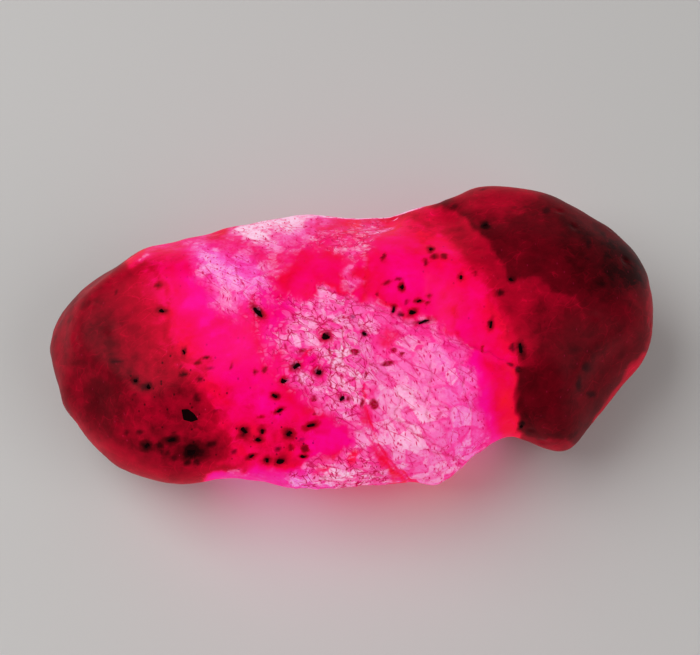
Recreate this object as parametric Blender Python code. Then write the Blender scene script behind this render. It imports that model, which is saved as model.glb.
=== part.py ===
"""Raw ruby crystal: one waterworn, chipped piece of corundum that lies on its flat parting face.

The stone is one solid. Its outer edge is drawn as an eye above it sees it, carried down to the
stone's widest line, and filled with a domed upper and lower surface. The broken face with its
ledge, crack and seam, the worn flats, the parting steps, the pits and the roughness are then
worked into that body, and the parting face that it lies on is cut flat.

Lengths are millimetres up to the last step, which turns the stone to metres.
"""

import math

import bpy
import numpy as np
from mathutils import Matrix, Vector, noise

MM = 0.001
NAME = "ruby_crystal"
RUBY_RED = (0.42, 0.004, 0.035, 1.0)

# How far in from the outer edge the top and the base stay curved, and how full that curve is.
TOP_ROUND = 8.0
BASE_ROUND = 6.5
ROUND_POWER = 2.1

# The eye that the drawn lines belong to: its distance from the middle of the stone, how far it
# looks down, the height that it aims at, how far the rounded edge shows past the widest line at
# the back and at the front, and what is left on the edge for wear to take off.
EYE_DISTANCE = 137.3
EYE_TILT = math.radians(64.0)
AIM_HEIGHT = 7.0
SHOWN_BEHIND = 0.45
SHOWN_BEFORE = 0.10
EDGE_SPARE = 0.12

# The mesh: stations along the stone, points across each, the grain of the mesh that is carved,
# and the triangles that the finished stone keeps.
STATIONS = 160
AROUND = 40
GRAIN = 0.34
TRIANGLES_KEPT = 9300
SNAP = 0.12

# The outer edge, clockwise from the left end: across, up, and the height at which it lies.
OUTLINE = [
    (-25.0, -1.5, 6.4),
    (-23.7, 1.9, 6.4),
    (-19.4, 5.3, 6.8),
    (-17.4, 6.4, 7.0),
    (-15.4, 6.9, 7.1),
    (-9.6, 8.6, 7.4),
    (-6.6, 9.1, 7.4),
    (-4.2, 9.5, 7.2),
    (0.8, 9.1, 6.8),
    (5.8, 9.7, 7.0),
    (8.9, 10.9, 7.8),
    (11.0, 11.9, 8.3),
    (15.8, 11.3, 8.6),
    (20.8, 9.1, 8.3),
    (22.8, 7.5, 8.1),
    (24.6, 4.9, 7.7),
    (25.0, -1.5, 6.8),
    (23.0, -5.0, 6.2),
    (19.1, -10.1, 5.6),
    (18.8, -10.3, 5.6),
    (17.9, -10.2, 5.7),
    (15.0, -9.1, 6.3),
    (14.0, -8.7, 6.5),
    (10.8, -10.2, 6.2),
    (7.5, -12.8, 5.8),
    (3.3, -13.1, 5.8),
    (0.4, -13.5, 5.8),
    (-4.2, -13.4, 5.9),
    (-5.8, -13.0, 6.0),
    (-9.1, -12.5, 6.3),
    (-11.2, -12.6, 6.2),
    (-14.5, -13.2, 5.9),
    (-16.2, -12.8, 5.8),
    (-19.5, -11.6, 5.8),
    (-21.3, -9.8, 6.0),
    (-23.8, -6.9, 6.2),
    (-24.5, -4.9, 6.3),
]

# The flats that meet in the top surface: a point of each, then its rise along x and along y.
TOP_FLATS = [
    ((0.0, 0.0, 14.2), (0.02, -0.03)),
    ((-14.0, 0.0, 13.9), (0.13, -0.02)),
    ((-12.0, 5.0, 13.7), (0.03, -0.26)),
    ((0.0, 5.0, 13.6), (0.02, -0.22)),
    ((-13.0, -7.0, 13.6), (0.03, 0.25)),
    ((13.5, 4.5, 14.5), (-0.26, -0.20)),
    ((15.0, 0.0, 14.4), (-0.16, 0.08)),
    ((17.5, -5.0, 13.6), (-0.12, 0.30)),
]
TOP_BLEND = 0.22

# The flats under the stone, which rise from the parting face, and how far that face is cut up.
BASE_FLATS = [
    ((-11.0, 0.0, 0.0), (-0.17, 0.0)),
    ((11.5, 0.0, 0.0), (0.15, 0.02)),
    ((0.0, 6.5, 0.0), (0.02, 0.24)),
    ((0.0, -8.0, 0.0), (0.0, -0.22)),
    ((-9.0, 5.0, 0.0), (-0.14, 0.18)),
]
BASE_SAG = 0.6

# The ledge above the broken face, drawn as the outer edge is: across, up, height.
LEDGE = [
    (-2.4, 3.4, 14.2),
    (-0.2, 2.6, 14.2),
    (2.2, 1.6, 14.1),
    (4.2, 0.6, 14.0),
    (6.7, 0.0, 13.9),
    (8.5, -1.5, 13.6),
    (9.8, -1.7, 13.5),
    (11.5, -2.5, 13.3),
    (14.0, -3.5, 13.0),
]

# The open crack that bounds the broken face on the right.
CRACK = [
    (14.0, -4.7, 12.7),
    (14.2, -5.4, 12.4),
    (13.5, -6.8, 11.6),
    (14.0, -8.4, 10.0),
    (14.1, -9.6, 7.5),
]

# The seam along which the broken face begins on the left, from the front edge upwards.
SEAM = [
    (5.8, -13.6, 5.8),
    (5.6, -12.6, 7.6),
    (4.3, -11.6, 9.0),
    (2.9, -10.5, 10.2),
    (2.2, -9.5, 11.0),
    (1.5, -7.1, 12.4),
    (1.2, -4.7, 13.4),
]

# The top edge of the bevel in front of the seam.
BEVEL = [
    (-5.6, -13.0, 7.0),
    (-3.5, -11.7, 8.8),
    (-0.9, -10.6, 9.8),
    (2.2, -9.5, 10.8),
]

# The broken face and the bevel: height over the origin, then the rise along x and along y, and
# how far from the ledge and from the seam the broken face reaches its depth.
BROKEN_FACE = (14.56, 0.020, 0.375)
LEDGE_RUN = 0.3
SEAM_RUN = 2.4
BEVEL_FACE = (20.6, 0.05, 0.82)
PAST_EDGE = 9.0

# Flats worn on the sides: a point of each, the way it faces, and how far from the point it goes.
SIDE_FLATS = [
    ((20.6, -7.6, 9.2), (0.70, -0.46, 0.54), 7.5),
    ((-20.5, -7.2, 10.2), (-0.52, -0.50, 0.69), 8.0),
    ((-14.5, 7.0, 11.4), (-0.22, 0.62, 0.75), 8.5),
    ((-23.3, 0.5, 9.4), (-0.78, 0.15, 0.60), 6.5),
    ((17.5, 11.2, 11.6), (0.22, 0.66, 0.72), 7.5),
    ((23.8, 3.4, 10.2), (0.80, 0.16, 0.58), 7.0),
    ((-1.5, 9.8, 11.0), (-0.02, 0.70, 0.71), 6.5),
    ((-17.0, -12.6, 8.6), (-0.30, -0.80, 0.52), 5.5),
    ((21.5, -7.0, 3.4), (0.62, -0.45, -0.64), 7.0),
    ((-20.5, -8.2, 3.0), (-0.56, -0.50, -0.66), 7.0),
    ((-8.0, 10.2, 3.2), (-0.05, 0.66, -0.75), 8.0),
    ((13.5, 12.6, 3.4), (0.05, 0.64, -0.76), 8.0),
]
FLAT_HELD = 0.7

# Small worn flats all over the stone: how many, how wide, how deep at most, how far from level,
# and how much of that is left at the outer edge.
WORN_FLATS = 100
WORN_RADIUS = (2.5, 5.5)
WORN_DEPTH = 0.7
WORN_LEAN = 0.06
EDGE_WORN = 0.3
EDGE_REACH = 2.0

# Parting steps: spacing, height and the way that each set climbs in plan, and their patches.
STEP_SETS = [
    (1.9, 0.16, math.radians(68.0)),
    (2.7, 0.14, math.radians(-24.0)),
]
STEP_PATCH = 5.5

# Small pits, and the roughness of the whole skin as (size, height).
PITS = 16
PIT_RADIUS = (0.7, 1.5)
PIT_DEPTH = 0.24
ROUGHNESS = [(6.0, 0.10), (2.4, 0.05), (1.1, 0.03)]
SHARP_ANGLE = math.radians(20.0)
SEED = 21


def on_plan(across, up, height):
    """The plan point at this height that the eye sees at (across, up)."""
    forward = np.array((0.0, math.cos(EYE_TILT), -math.sin(EYE_TILT)))
    upward = np.array((0.0, math.sin(EYE_TILT), math.cos(EYE_TILT)))
    eye = np.array((0.0, 0.0, AIM_HEIGHT)) - EYE_DISTANCE * forward
    ray = EYE_DISTANCE * forward + up * upward + np.array((across, 0.0, 0.0))
    return (eye + ray * (height - eye[2]) / ray[2])[:2]


def plan_line(drawn):
    """A drawn line as plan points."""
    return np.array([on_plan(*point) for point in drawn])


def smooth_loop(points, steps=8):
    """A closed Catmull-Rom curve through the points."""
    here = np.array(points, float)
    before, after, later = np.roll(here, 1, 0), np.roll(here, -1, 0), np.roll(here, -2, 0)
    stretch = []
    for t in np.arange(steps) / steps:
        bend = 2 * before - 5 * here + 4 * after - later
        twist = 3 * here - before - 3 * after + later
        stretch.append(0.5 * (2 * here + (after - before) * t + bend * t**2 + twist * t**3))
    return np.stack(stretch, axis=1).reshape(-1, here.shape[1])


def smooth_step(low, high, value):
    share = np.clip((value - low) / (high - low), 0.0, 1.0)
    return share * share * (3.0 - 2.0 * share)


def distance_to(path, points):
    """Plan distance from each point to an open line."""
    nearest = np.full(len(points), np.inf)
    for start, end in zip(path[:-1], path[1:]):
        run = end - start
        share = np.clip((points - start) @ run / max(run @ run, 1e-12), 0.0, 1.0)
        gap = points - start - share[:, None] * run
        nearest = np.minimum(nearest, np.hypot(gap[:, 0], gap[:, 1]))
    return nearest


def inside(loop, points):
    """True for the points inside a closed plan outline."""
    x, y = points[:, 0], points[:, 1]
    found = np.zeros(len(points), bool)
    for (ax, ay), (bx, by) in zip(loop, np.roll(loop, -1, 0)):
        if ay != by:
            crosses = (ay > y) != (by > y)
            found ^= crosses & (x < (bx - ax) * (y - ay) / (by - ay) + ax)
    return found


def edge_line():
    """The stone's widest line, as plan points with their heights, from the drawn outer edge."""
    drawn = smooth_loop(OUTLINE)
    run = np.roll(drawn, -1, 0) - np.roll(drawn, 1, 0)
    out = np.column_stack([-run[:, 1], run[:, 0]]) / np.hypot(run[:, 0], run[:, 1])[:, None]
    drawn[:, :2] += EDGE_SPARE * out
    drawn[:, 1] -= np.where(out[:, 1] > 0.0, SHOWN_BEHIND, SHOWN_BEFORE) * out[:, 1] ** 3
    return np.column_stack([plan_line(drawn), drawn[:, 2]])


def closed(line):
    return np.vstack([line, line[:1]])


def edge_sides(edge):
    """The back and the front of the edge line, each from left to right."""
    left, right = edge[:, 0].argmin(), edge[:, 0].argmax()
    turned = np.roll(edge, -left, 0)
    split = (right - left) % len(edge)
    return turned[: split + 1], np.vstack([turned[split:], turned[:1]])[::-1]


def at_stations(side, stations):
    """y and height of one side of the edge line at each x station."""
    reach = np.maximum.accumulate(side[:, 0])
    return np.interp(stations, reach, side[:, 1]), np.interp(stations, reach, side[:, 2])


def top_surface(x, y):
    """The lowest of the top's flats, with the lines where they meet a little rounded."""
    heights = [at[2] + along * (x - at[0]) + over * (y - at[1]) for at, (along, over) in TOP_FLATS]
    return -TOP_BLEND * np.log(sum(np.exp(-height / TOP_BLEND) for height in heights))


def base_surface(x, y):
    """The highest of the parting face and the flats that rise from it."""
    heights = [at[2] + along * (x - at[0]) + over * (y - at[1]) for at, (along, over) in BASE_FLATS]
    return np.maximum.reduce([np.full(len(x), -BASE_SAG), *heights])


def curve_in(distance, reach):
    """0 on the edge line, rising to 1 where its rounding ends."""
    share = np.clip(distance / reach, 0.0, 1.0)
    return (1.0 - (1.0 - share) ** ROUND_POWER) ** (1.0 / ROUND_POWER)


def body():
    """Points and faces of the stone before it is carved: rings around it, and a point at each end."""
    edge = edge_line()
    back, front = edge_sides(edge)
    low, high = back[0], back[-1]
    turns = np.arange(1, STATIONS) / STATIONS * math.pi
    stations = low[0] + (high[0] - low[0]) * (1.0 - np.cos(turns)) / 2
    back_y, back_z = at_stations(back, stations)
    front_y, front_z = at_stations(front, stations)

    over = (1.0 - np.cos(np.arange(AROUND + 1) / AROUND * math.pi)) / 2
    across = np.concatenate([over, over[-2:0:-1]])
    on_top = np.tile(np.arange(len(across)) <= AROUND, len(stations))
    x = np.repeat(stations, len(across))
    y = (front_y[:, None] + (back_y - front_y)[:, None] * across).ravel()
    rim = (front_z[:, None] + (back_z - front_z)[:, None] * across).ravel()

    gap = distance_to(closed(edge)[:, :2], np.column_stack([x, y]))
    up = rim + (top_surface(x, y) - rim) * curve_in(gap, TOP_ROUND)
    down = rim + (base_surface(x, y) - rim) * curve_in(gap, BASE_ROUND)
    points = np.column_stack([x, y, np.where(on_top, up, down)])
    return np.vstack([points, low, high]), ring_faces(len(stations), len(across))


def ring_faces(rings, around):
    """Faces between the rings, with a fan to the point at each end."""
    left_end, right_end, last = rings * around, rings * around + 1, (rings - 1) * around
    faces = []
    for k in range(around):
        after = (k + 1) % around
        faces.append((left_end, k, after))
        faces.append((right_end, last + after, last + k))
        for here in range(0, last, around):
            there = here + around
            faces.append((here + k, there + k, there + after, here + after))
    return faces


def sink(points, held, face, share=1.0):
    """Lowers the held points towards a face given by its height and its two rises."""
    height, along, over = face
    level = height + along * points[:, 0] + over * points[:, 1]
    drop = np.maximum(points[:, 2] - level, 0.0) * share
    points[:, 2] -= np.where(held, drop, 0.0)


def break_off(points):
    """The broken face below the ledge, beside the crack, and the bevel in front of the seam."""
    ledge, crack, seam, bevel = map(plan_line, (LEDGE, CRACK, SEAM, BEVEL))
    wall = np.vstack([ledge, crack, crack[-1] - (0.0, PAST_EDGE)])
    loop = np.vstack([wall, seam[0] - (0.0, PAST_EDGE), seam])
    plan = points[:, :2]
    share = smooth_step(0.0, LEDGE_RUN, distance_to(wall, plan))
    share *= smooth_step(0.0, SEAM_RUN, distance_to(np.vstack([seam, ledge[:1]]), plan))
    sink(points, inside(loop, plan), BROKEN_FACE, share)
    loop = np.vstack([bevel, bevel[-1] - (0.0, PAST_EDGE), bevel[0] - (0.0, PAST_EDGE)])
    sink(points, inside(loop, plan), BEVEL_FACE)


def grind(points, origin, facing, reach, share=1.0):
    """Wears flat what stands out past a plane, within reach of a point on it."""
    facing = np.array(facing) / np.linalg.norm(facing)
    away = points - np.array(origin)
    out = np.maximum(away @ facing, 0.0)
    nearness = 1.0 - smooth_step(FLAT_HELD * reach, reach, np.linalg.norm(away, axis=1))
    points -= (out * nearness * share)[:, None] * facing


def wear(points, normals, random):
    """Flats all over the skin. Each passes through the skin's mean height at its own radius."""
    inset = distance_to(closed(edge_line())[:, :2], points[:, :2])
    share = EDGE_WORN + (1.0 - EDGE_WORN) * smooth_step(0.0, EDGE_REACH, inset)
    for at in random.randint(0, len(points), WORN_FLATS):
        facing = normals[at] + random.normal(0.0, WORN_LEAN, 3)
        facing /= np.linalg.norm(facing)
        radius = random.uniform(*WORN_RADIUS)
        away = points - points[at]
        distance = np.linalg.norm(away, axis=1)
        ring = (distance > FLAT_HELD * radius) & (distance < radius)
        depth = np.clip(-(away[ring] @ facing).mean(), 0.0, WORN_DEPTH)
        grind(points, points[at] - depth * facing, facing, radius / FLAT_HELD, share)


def skin_noise(points, size, shift):
    """Smooth noise over the skin, about -0.5 to 0.5, with features of this size."""
    offset = Vector((shift, -shift, 0.5 * shift))
    return np.array([noise.noise(Vector(point) / size + offset) for point in points])


def step_down(points, normals, random):
    """Parting steps in patches: the skin falls in low terraces along two ways."""
    for spacing, height, turn in STEP_SETS:
        along = points[:, 0] * math.cos(turn) + points[:, 1] * math.sin(turn)
        ramp = (along / spacing) % 1.0
        terrace = smooth_step(0.0, 0.8, ramp) - smooth_step(0.86, 1.0, ramp)
        patch = smooth_step(0.02, 0.16, skin_noise(points, STEP_PATCH, random.uniform(20.0, 90.0)))
        points -= (height * terrace * patch)[:, None] * normals


def sink_pits(points, normals, random):
    """Small round pits."""
    for at in random.randint(0, len(points), PITS):
        radius = random.uniform(*PIT_RADIUS)
        nearness = 1.0 - np.linalg.norm(points - points[at], axis=1) / radius
        points -= (PIT_DEPTH * smooth_step(0.0, 0.8, nearness))[:, None] * normals[at]


def roughen(points, normals):
    lift = sum(height * skin_noise(points, size, 3.0 * size) for size, height in ROUGHNESS)
    points += lift[:, None] * normals


def carve(mesh):
    """Works the whole skin of the stone by moving the mesh's points."""
    random = np.random.RandomState(SEED)
    points = np.array([vertex.co for vertex in mesh.vertices])
    for flat in SIDE_FLATS:
        grind(points, *flat)
    put_back(mesh, points)
    wear(points, normals_of(mesh), random)
    break_off(points)
    put_back(mesh, points)
    normals = normals_of(mesh)
    step_down(points, normals, random)
    sink_pits(points, normals, random)
    roughen(points, normals)
    points[:, 2] = np.maximum(points[:, 2], 0.0)
    put_back(mesh, points)


def put_back(mesh, points):
    mesh.vertices.foreach_set("co", points.ravel())
    mesh.update()


def normals_of(mesh):
    return np.array([normal.vector for normal in mesh.vertex_normals])


def apply_modifier(stone, kind, **settings):
    """Runs one modifier on the stone and keeps its result as the stone's mesh."""
    modifier = stone.modifiers.new(kind.lower(), kind)
    for setting, value in settings.items():
        setattr(modifier, setting, value)
    graph = bpy.context.evaluated_depsgraph_get()
    mesh = bpy.data.meshes.new_from_object(stone.evaluated_get(graph))
    stone.modifiers.clear()
    stone.data = mesh


def level_parting_face(mesh):
    """Puts the points of the face that the stone lies on back on one plane."""
    for vertex in mesh.vertices:
        if vertex.co.z < SNAP:
            vertex.co.z = 0.0


def centre(mesh):
    """Puts the origin under the middle of the stone."""
    points = np.array([vertex.co for vertex in mesh.vertices])
    middle = (points.min(0) + points.max(0)) / 2
    mesh.transform(Matrix.Translation((-middle[0], -middle[1], -points[:, 2].min())))


def ruby_material():
    material = bpy.data.materials.new("ruby")
    material.use_nodes = True
    shader = material.node_tree.nodes["Principled BSDF"]
    shader.inputs["Base Color"].default_value = RUBY_RED
    shader.inputs["Roughness"].default_value = 0.3
    shader.inputs["IOR"].default_value = 1.77
    return material


def main():
    for old in list(bpy.data.objects):
        bpy.data.objects.remove(old)
    points, faces = body()
    mesh = bpy.data.meshes.new(NAME)
    mesh.from_pydata(points.tolist(), [], faces)
    stone = bpy.data.objects.new(NAME, mesh)
    bpy.context.scene.collection.objects.link(stone)

    apply_modifier(stone, "REMESH", mode="VOXEL", voxel_size=GRAIN)
    carve(stone.data)
    apply_modifier(stone, "DECIMATE", ratio=TRIANGLES_KEPT / (2 * len(stone.data.polygons)))
    level_parting_face(stone.data)
    centre(stone.data)
    stone.data.transform(Matrix.Scale(MM, 4))
    stone.data.shade_smooth()
    stone.data.set_sharp_from_angle(angle=SHARP_ANGLE)
    stone.data.materials.append(ruby_material())


main()
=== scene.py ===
# %% [markdown]
# # A raw ruby that is lit from below
#
# The real object is one piece of rough ruby, about as long as a thumb. A river has worn its
# skin, a corner has broken off along a ledge, and black mineral grains are grown into it.
# Light that enters from below comes out red where the stone is clear, pale pink where it is
# full of fine cracks, and hardly at all through its thick dark lobes.
#
# The packed solid is the fixed frame of this lesson. It gives the stone's true size and form,
# and everything below is modelled on it.

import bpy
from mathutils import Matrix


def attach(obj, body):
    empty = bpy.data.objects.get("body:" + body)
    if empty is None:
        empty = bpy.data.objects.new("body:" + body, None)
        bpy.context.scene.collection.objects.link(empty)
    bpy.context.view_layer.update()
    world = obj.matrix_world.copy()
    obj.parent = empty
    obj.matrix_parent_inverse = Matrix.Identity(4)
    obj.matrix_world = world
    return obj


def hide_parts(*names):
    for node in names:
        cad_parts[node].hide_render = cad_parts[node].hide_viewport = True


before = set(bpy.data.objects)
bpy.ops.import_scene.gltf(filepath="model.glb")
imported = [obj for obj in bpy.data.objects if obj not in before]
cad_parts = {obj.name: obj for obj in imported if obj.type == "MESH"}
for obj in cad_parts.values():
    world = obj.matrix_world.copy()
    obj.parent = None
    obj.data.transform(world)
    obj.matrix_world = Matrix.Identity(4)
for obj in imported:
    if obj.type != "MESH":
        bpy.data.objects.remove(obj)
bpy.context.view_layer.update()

# %% The tools that every step below uses
import itertools
import math

import bpy
import numpy as np
from mathutils import Matrix, Vector

MM = 0.001


def deselect_all():
    if bpy.context.mode != "OBJECT":
        bpy.ops.object.mode_set(mode="OBJECT")
    bpy.ops.object.select_all(action="DESELECT")


def pick(piece):
    """Selects one piece alone and makes it the active one."""
    deselect_all()
    piece.select_set(True)
    bpy.context.view_layer.objects.active = piece


def apply_modifier(piece, kind, **settings):
    """Adds a modifier to a piece with these settings, and applies it."""
    pick(piece)
    modifier = piece.modifiers.new(kind.lower(), kind)
    for setting, value in settings.items():
        setattr(modifier, setting, value)
    bpy.ops.object.modifier_apply(modifier=modifier.name)


def count_triangles(piece):
    return sum(len(face.vertices) - 2 for face in piece.data.polygons)


print("triangles in the packed stone:", count_triangles(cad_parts["ruby_crystal"]))

# %% [markdown]
# ## The eye and its drawing plane
#
# The stone is looked down on, at 64 degrees, through a long lens. Marks on the stone could be
# placed by their coordinates in space, but they are easiest to give as that eye sees them: so
# many millimetres across and so many up from the middle of the view. A ray from the eye then
# finds the place on the skin.

# %% Camera
EYE_DISTANCE = 137.3 * MM
EYE_TILT = math.radians(64.0)
LOOK_AT = Vector((-0.125, 0.647, 7.0)) * MM
RIGHTWARD = Vector((1.0, 0.0, 0.0))
FORWARD = Vector((0.0, math.cos(EYE_TILT), -math.sin(EYE_TILT)))
UPWARD = Vector((0.0, math.sin(EYE_TILT), math.cos(EYE_TILT)))
EYE = LOOK_AT - EYE_DISTANCE * FORWARD
LENS = 85.0
SENSOR_WIDTH = 36.0
NEAREST_SEEN = 5 * MM

bpy.ops.object.camera_add(location=EYE, rotation=(math.radians(90.0) - EYE_TILT, 0.0, 0.0))
camera = bpy.context.object
camera.name = "camera"
camera.data.lens = LENS
camera.data.sensor_width = SENSOR_WIDTH
camera.data.clip_start = NEAREST_SEEN
bpy.context.scene.camera = camera
print("eye, mm:", [round(1000 * c, 1) for c in EYE])

# %% [markdown]
# ## The table and the studio's light
#
# The stone needs something to lie on, and a little light to show its form from every side. A lamp
# under a glass table would light the real stone, but this one is solid to the renderer, so its
# glow is given by the ruby's material. The table is plain and pale, and two large soft lamps are
# kept low, so that they don't outshine that glow.

# %% Table
TABLE_SIZE = 2.0
TABLE_GREY = (0.76, 0.75, 0.74, 1.0)
TABLE_ROUGHNESS = 0.6

bpy.ops.mesh.primitive_plane_add(size=TABLE_SIZE, location=(0.0, 0.0, 0.0))
floor = bpy.context.object
floor.name = "floor"
table_paint = bpy.data.materials.new("table_paint")
table_paint.use_nodes = True
table_shader = table_paint.node_tree.nodes["Principled BSDF"]
table_shader.inputs["Base Color"].default_value = TABLE_GREY
table_shader.inputs["Roughness"].default_value = TABLE_ROUGHNESS
floor.data.materials.append(table_paint)
print("table, m:", TABLE_SIZE)

# %% Light
WORLD_GREY = (0.84, 0.82, 0.80, 1.0)
WORLD_STRENGTH = 0.20
LAMP_SIZE = 380.0
LAMPS = {"key_light": ((-260.0, 60.0, 300.0), 1.0), "fill_light": ((300.0, -180.0, 260.0), 0.5)}

world = bpy.data.worlds.new("studio")
world.use_nodes = True
world_light = world.node_tree.nodes["Background"]
world_light.inputs["Color"].default_value = WORLD_GREY
world_light.inputs["Strength"].default_value = WORLD_STRENGTH
bpy.context.scene.world = world
bpy.context.scene.view_settings.view_transform = "Standard"


def add_softbox(name, place, power):
    """A square soft light that faces the stone, at this place in mm."""
    bpy.ops.object.light_add(type="AREA", location=Vector(place) * MM)
    lamp = bpy.context.object
    lamp.name = name
    lamp.data.size = LAMP_SIZE * MM
    lamp.data.energy = power
    lamp.rotation_euler = (LOOK_AT - lamp.location).to_track_quat("-Z", "Y").to_euler()


for name, (place, power) in LAMPS.items():
    add_softbox(name, place, power)

# %% [markdown]
# ## The fine stone
#
# Rough ruby has no smooth, even skin: it is all small flats, ledges and fissures. The packed solid
# has the large ones. Small ones could be given by a bump in the material, but then they would be
# missing from the mesh. So the solid's copy is remeshed into fine, even cells, which can carry
# real relief. Its own triangles are loose, and are merged first.

# %% A fine copy of the packed stone
FINE_GRAIN = 0.232 * MM
MERGE_REACH = 0.001 * MM

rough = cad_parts["ruby_crystal"]
stone = bpy.data.objects.new("ruby_stone", rough.data.copy())
bpy.context.scene.collection.objects.link(stone)
pick(stone)
bpy.ops.object.mode_set(mode="EDIT")
bpy.ops.mesh.select_all(action="SELECT")
bpy.ops.mesh.remove_doubles(threshold=MERGE_REACH)
bpy.ops.object.mode_set(mode="OBJECT")
stone.data.materials.clear()
print("merged copy:", count_triangles(stone), "triangles")

apply_modifier(stone, "REMESH", mode="VOXEL", voxel_size=FINE_GRAIN)
apply_modifier(stone, "SMOOTH", factor=0.5, iterations=3)
bpy.ops.object.shade_smooth()
print("fine stone:", count_triangles(stone), "triangles")

# %% [markdown]
# ## Drawing on the skin
#
# The stone's marks follow no seam and no edge: a patch of frost simply fades into clear ruby. They
# could be painted on by hand, but a slip of the brush is hard to put right. Here they are drawn as
# the eye sees them, in millimetres across and up, and each number can be mended. A loop of points
# is a patch and a row of points is a crack. What they say is kept on the mesh, as vertex groups
# for the modifiers and as attributes for the material.

# %% Where the eye sees each point of the skin


def read_points(piece, kind):
    """Three numbers for every point of a piece: its place ("co") or its direction ("normal")."""
    numbers = np.empty(3 * len(piece.data.vertices))
    piece.data.vertices.foreach_get(kind, numbers)
    return numbers.reshape(-1, 3)


def points_of(piece):
    return read_points(piece, "co")


def normals_of(piece):
    return read_points(piece, "normal")


def drawn(places):
    """How far across and up, in mm, the eye sees these places."""
    sight = places - np.array(EYE)
    scale = EYE_DISTANCE / (sight @ np.array(FORWARD)) / MM
    return np.stack([sight[:, 0] * scale, sight @ np.array(UPWARD) * scale], axis=1)


def facing_eye(piece):
    """How squarely each point of the skin faces the eye, from -1 to 1."""
    sight = np.array(EYE) - points_of(piece)
    return np.sum(normals_of(piece) * sight, axis=1) / np.linalg.norm(sight, axis=1)


print("the stone as it is seen, mm:", np.ptp(drawn(points_of(stone)), axis=0).round(1).tolist())

# %% Soft steps, and how hidden the skin is


def smooth_step(value):
    value = np.clip(value, 0.0, 1.0)
    return value * value * (3.0 - 2.0 * value)


def rise(value, start, run):
    """Goes smoothly from 0 to 1 as a value leaves start and goes on by run, up or down."""
    return smooth_step((value - start) / run)


def nearness(distance, reach):
    """1 on a mark, and smoothly down to 0 at its reach."""
    return smooth_step(1.0 - distance / reach)


def hidden_share(piece):
    """0 where the eye sees the skin, rising to 1 round the back of the stone."""
    return rise(facing_eye(piece), 0.20, -0.4)


print("skin that the eye doesn't see:", f"{np.mean(hidden_share(stone)):.0%}")

# %% Distances to rows and loops


def row_distance(places, row):
    """The distance from each place to a row of points that are joined up."""
    row = np.array(row)
    nearest = np.full(len(places), np.inf)
    for start, run in zip(row[:-1], np.diff(row, axis=0)):
        gone = places - start
        share = np.clip(gone @ run / (run @ run), 0.0, 1.0)
        nearest = np.minimum(nearest, np.linalg.norm(gone - share[:, None] * run, axis=1))
    return nearest


def nearest_row(places, rows):
    """The distance from each place to the nearest of these rows."""
    return np.min([row_distance(places, row) for row in rows], axis=0)


def loop_distance(places, loop):
    """The distance from each place to a closed loop, below zero inside it."""
    inside = np.zeros(len(places), bool)
    closed = loop + loop[:1]
    for (left, low), (right, high) in zip(closed[:-1], closed[1:]):
        if low != high:
            crosses = (low > places[:, 1]) != (high > places[:, 1])
            at = left + (right - left) * (places[:, 1] - low) / (high - low)
            inside ^= crosses & (places[:, 0] < at)
    nearest = row_distance(places, closed)
    return np.where(inside, -nearest, nearest)


SQUARE = [(-1.0, -1.0), (1.0, -1.0), (1.0, 1.0), (-1.0, 1.0)]
print("from the middle of a 2 mm square to its edge, mm:", loop_distance(np.zeros((1, 2)), SQUARE)[0])

# %% Zones that lie over one another, with edges that wander


def wandered(places, seed, amount, length):
    """Moves drawn places about by a smooth wander, so that no drawn edge stays straight."""
    dice = np.random.default_rng(seed)
    moved = places.copy()
    for octave in range(4):
        finer, weaker = 1.8 ** octave, 1.6 ** octave
        for axis in (0, 1):
            turn, phase = dice.uniform(0.0, 2.0 * math.pi, 2)
            wave = np.array((math.cos(turn), math.sin(turn))) * 2.0 * math.pi / length * finer
            moved[:, axis] += amount / weaker * np.sin(places @ wave + phase)
    return moved


def paint(places, start, zones):
    """Lays zones over a start value: each is its name, its value, its soft edge in mm, its loop."""
    value = np.full(len(places), start)
    for name, level, soft, loop in zones:
        share = smooth_step(0.5 - loop_distance(places, loop) / soft)
        value += share * (level - value)
    return value


stone_seen = drawn(points_of(stone))
shift = wandered(stone_seen, seed=1, amount=0.2, length=3.0) - stone_seen
print("an edge that wanders by 0.2 mm a wave moves at most, mm:", round(np.abs(shift).max(), 2))

# %% Keep values on the mesh, and move the skin by them


def keep_group(piece, name, values):
    """Keeps values from 0 to 1 as a vertex group's weights, in steps of a twentieth."""
    group = piece.vertex_groups.new(name=name)
    steps = np.round(np.clip(values, 0.0, 1.0) * 20.0).astype(int)
    for step in range(1, 21):
        group.add(np.flatnonzero(steps == step).tolist(), step / 20.0, "REPLACE")


def push_out(piece, distances):
    """Moves each point of a piece's skin outwards, along its normal."""
    moved = points_of(piece) + distances[:, None] * normals_of(piece)
    piece.data.vertices.foreach_set("co", moved.ravel())
    piece.data.update()


print("points to draw on:", len(stone.data.vertices))

# %% [markdown]
# ## The worn skin
#
# A river has rubbed most of this stone to a satin skin, but the corner that broke off is young and
# still sharp. A brush in sculpt mode would smooth it by hand. A Smooth modifier does the same, as
# often as it is told, and its vertex group says where. Smoothing shrinks a stone a little, so a
# Displace modifier then lets the same skin out again.

# %% Wear the skin smooth, but for the corner that broke off
WORN_START = 0.9
WORN_LESS_BEHIND = 0.6
WORN_STROKES = 180
WORN_SWELL = 0.10 * MM
BROKEN_CORNER = [
    (-6.0, 3.0), (-2.5, 4.5), (4.0, 2.0), (10.0, -0.6), (14.6, -2.4), (15.2, -9.0), (13.0, -11.0),
    (7.0, -15.0), (-7.0, -15.0), (-5.0, -11.0), (-1.0, -8.0), (-4.0, -3.0),
]
UNWORN_ZONES = [
    ("right_ridges", 0.5, 3.0, [
        (8.5, 9.5), (13.0, 6.0), (18.5, 3.6), (20.5, 0.5), (17.0, -1.0), (10.0, 4.0)]),
    ("broken_corner", 0.05, 3.0, BROKEN_CORNER),
]

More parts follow.
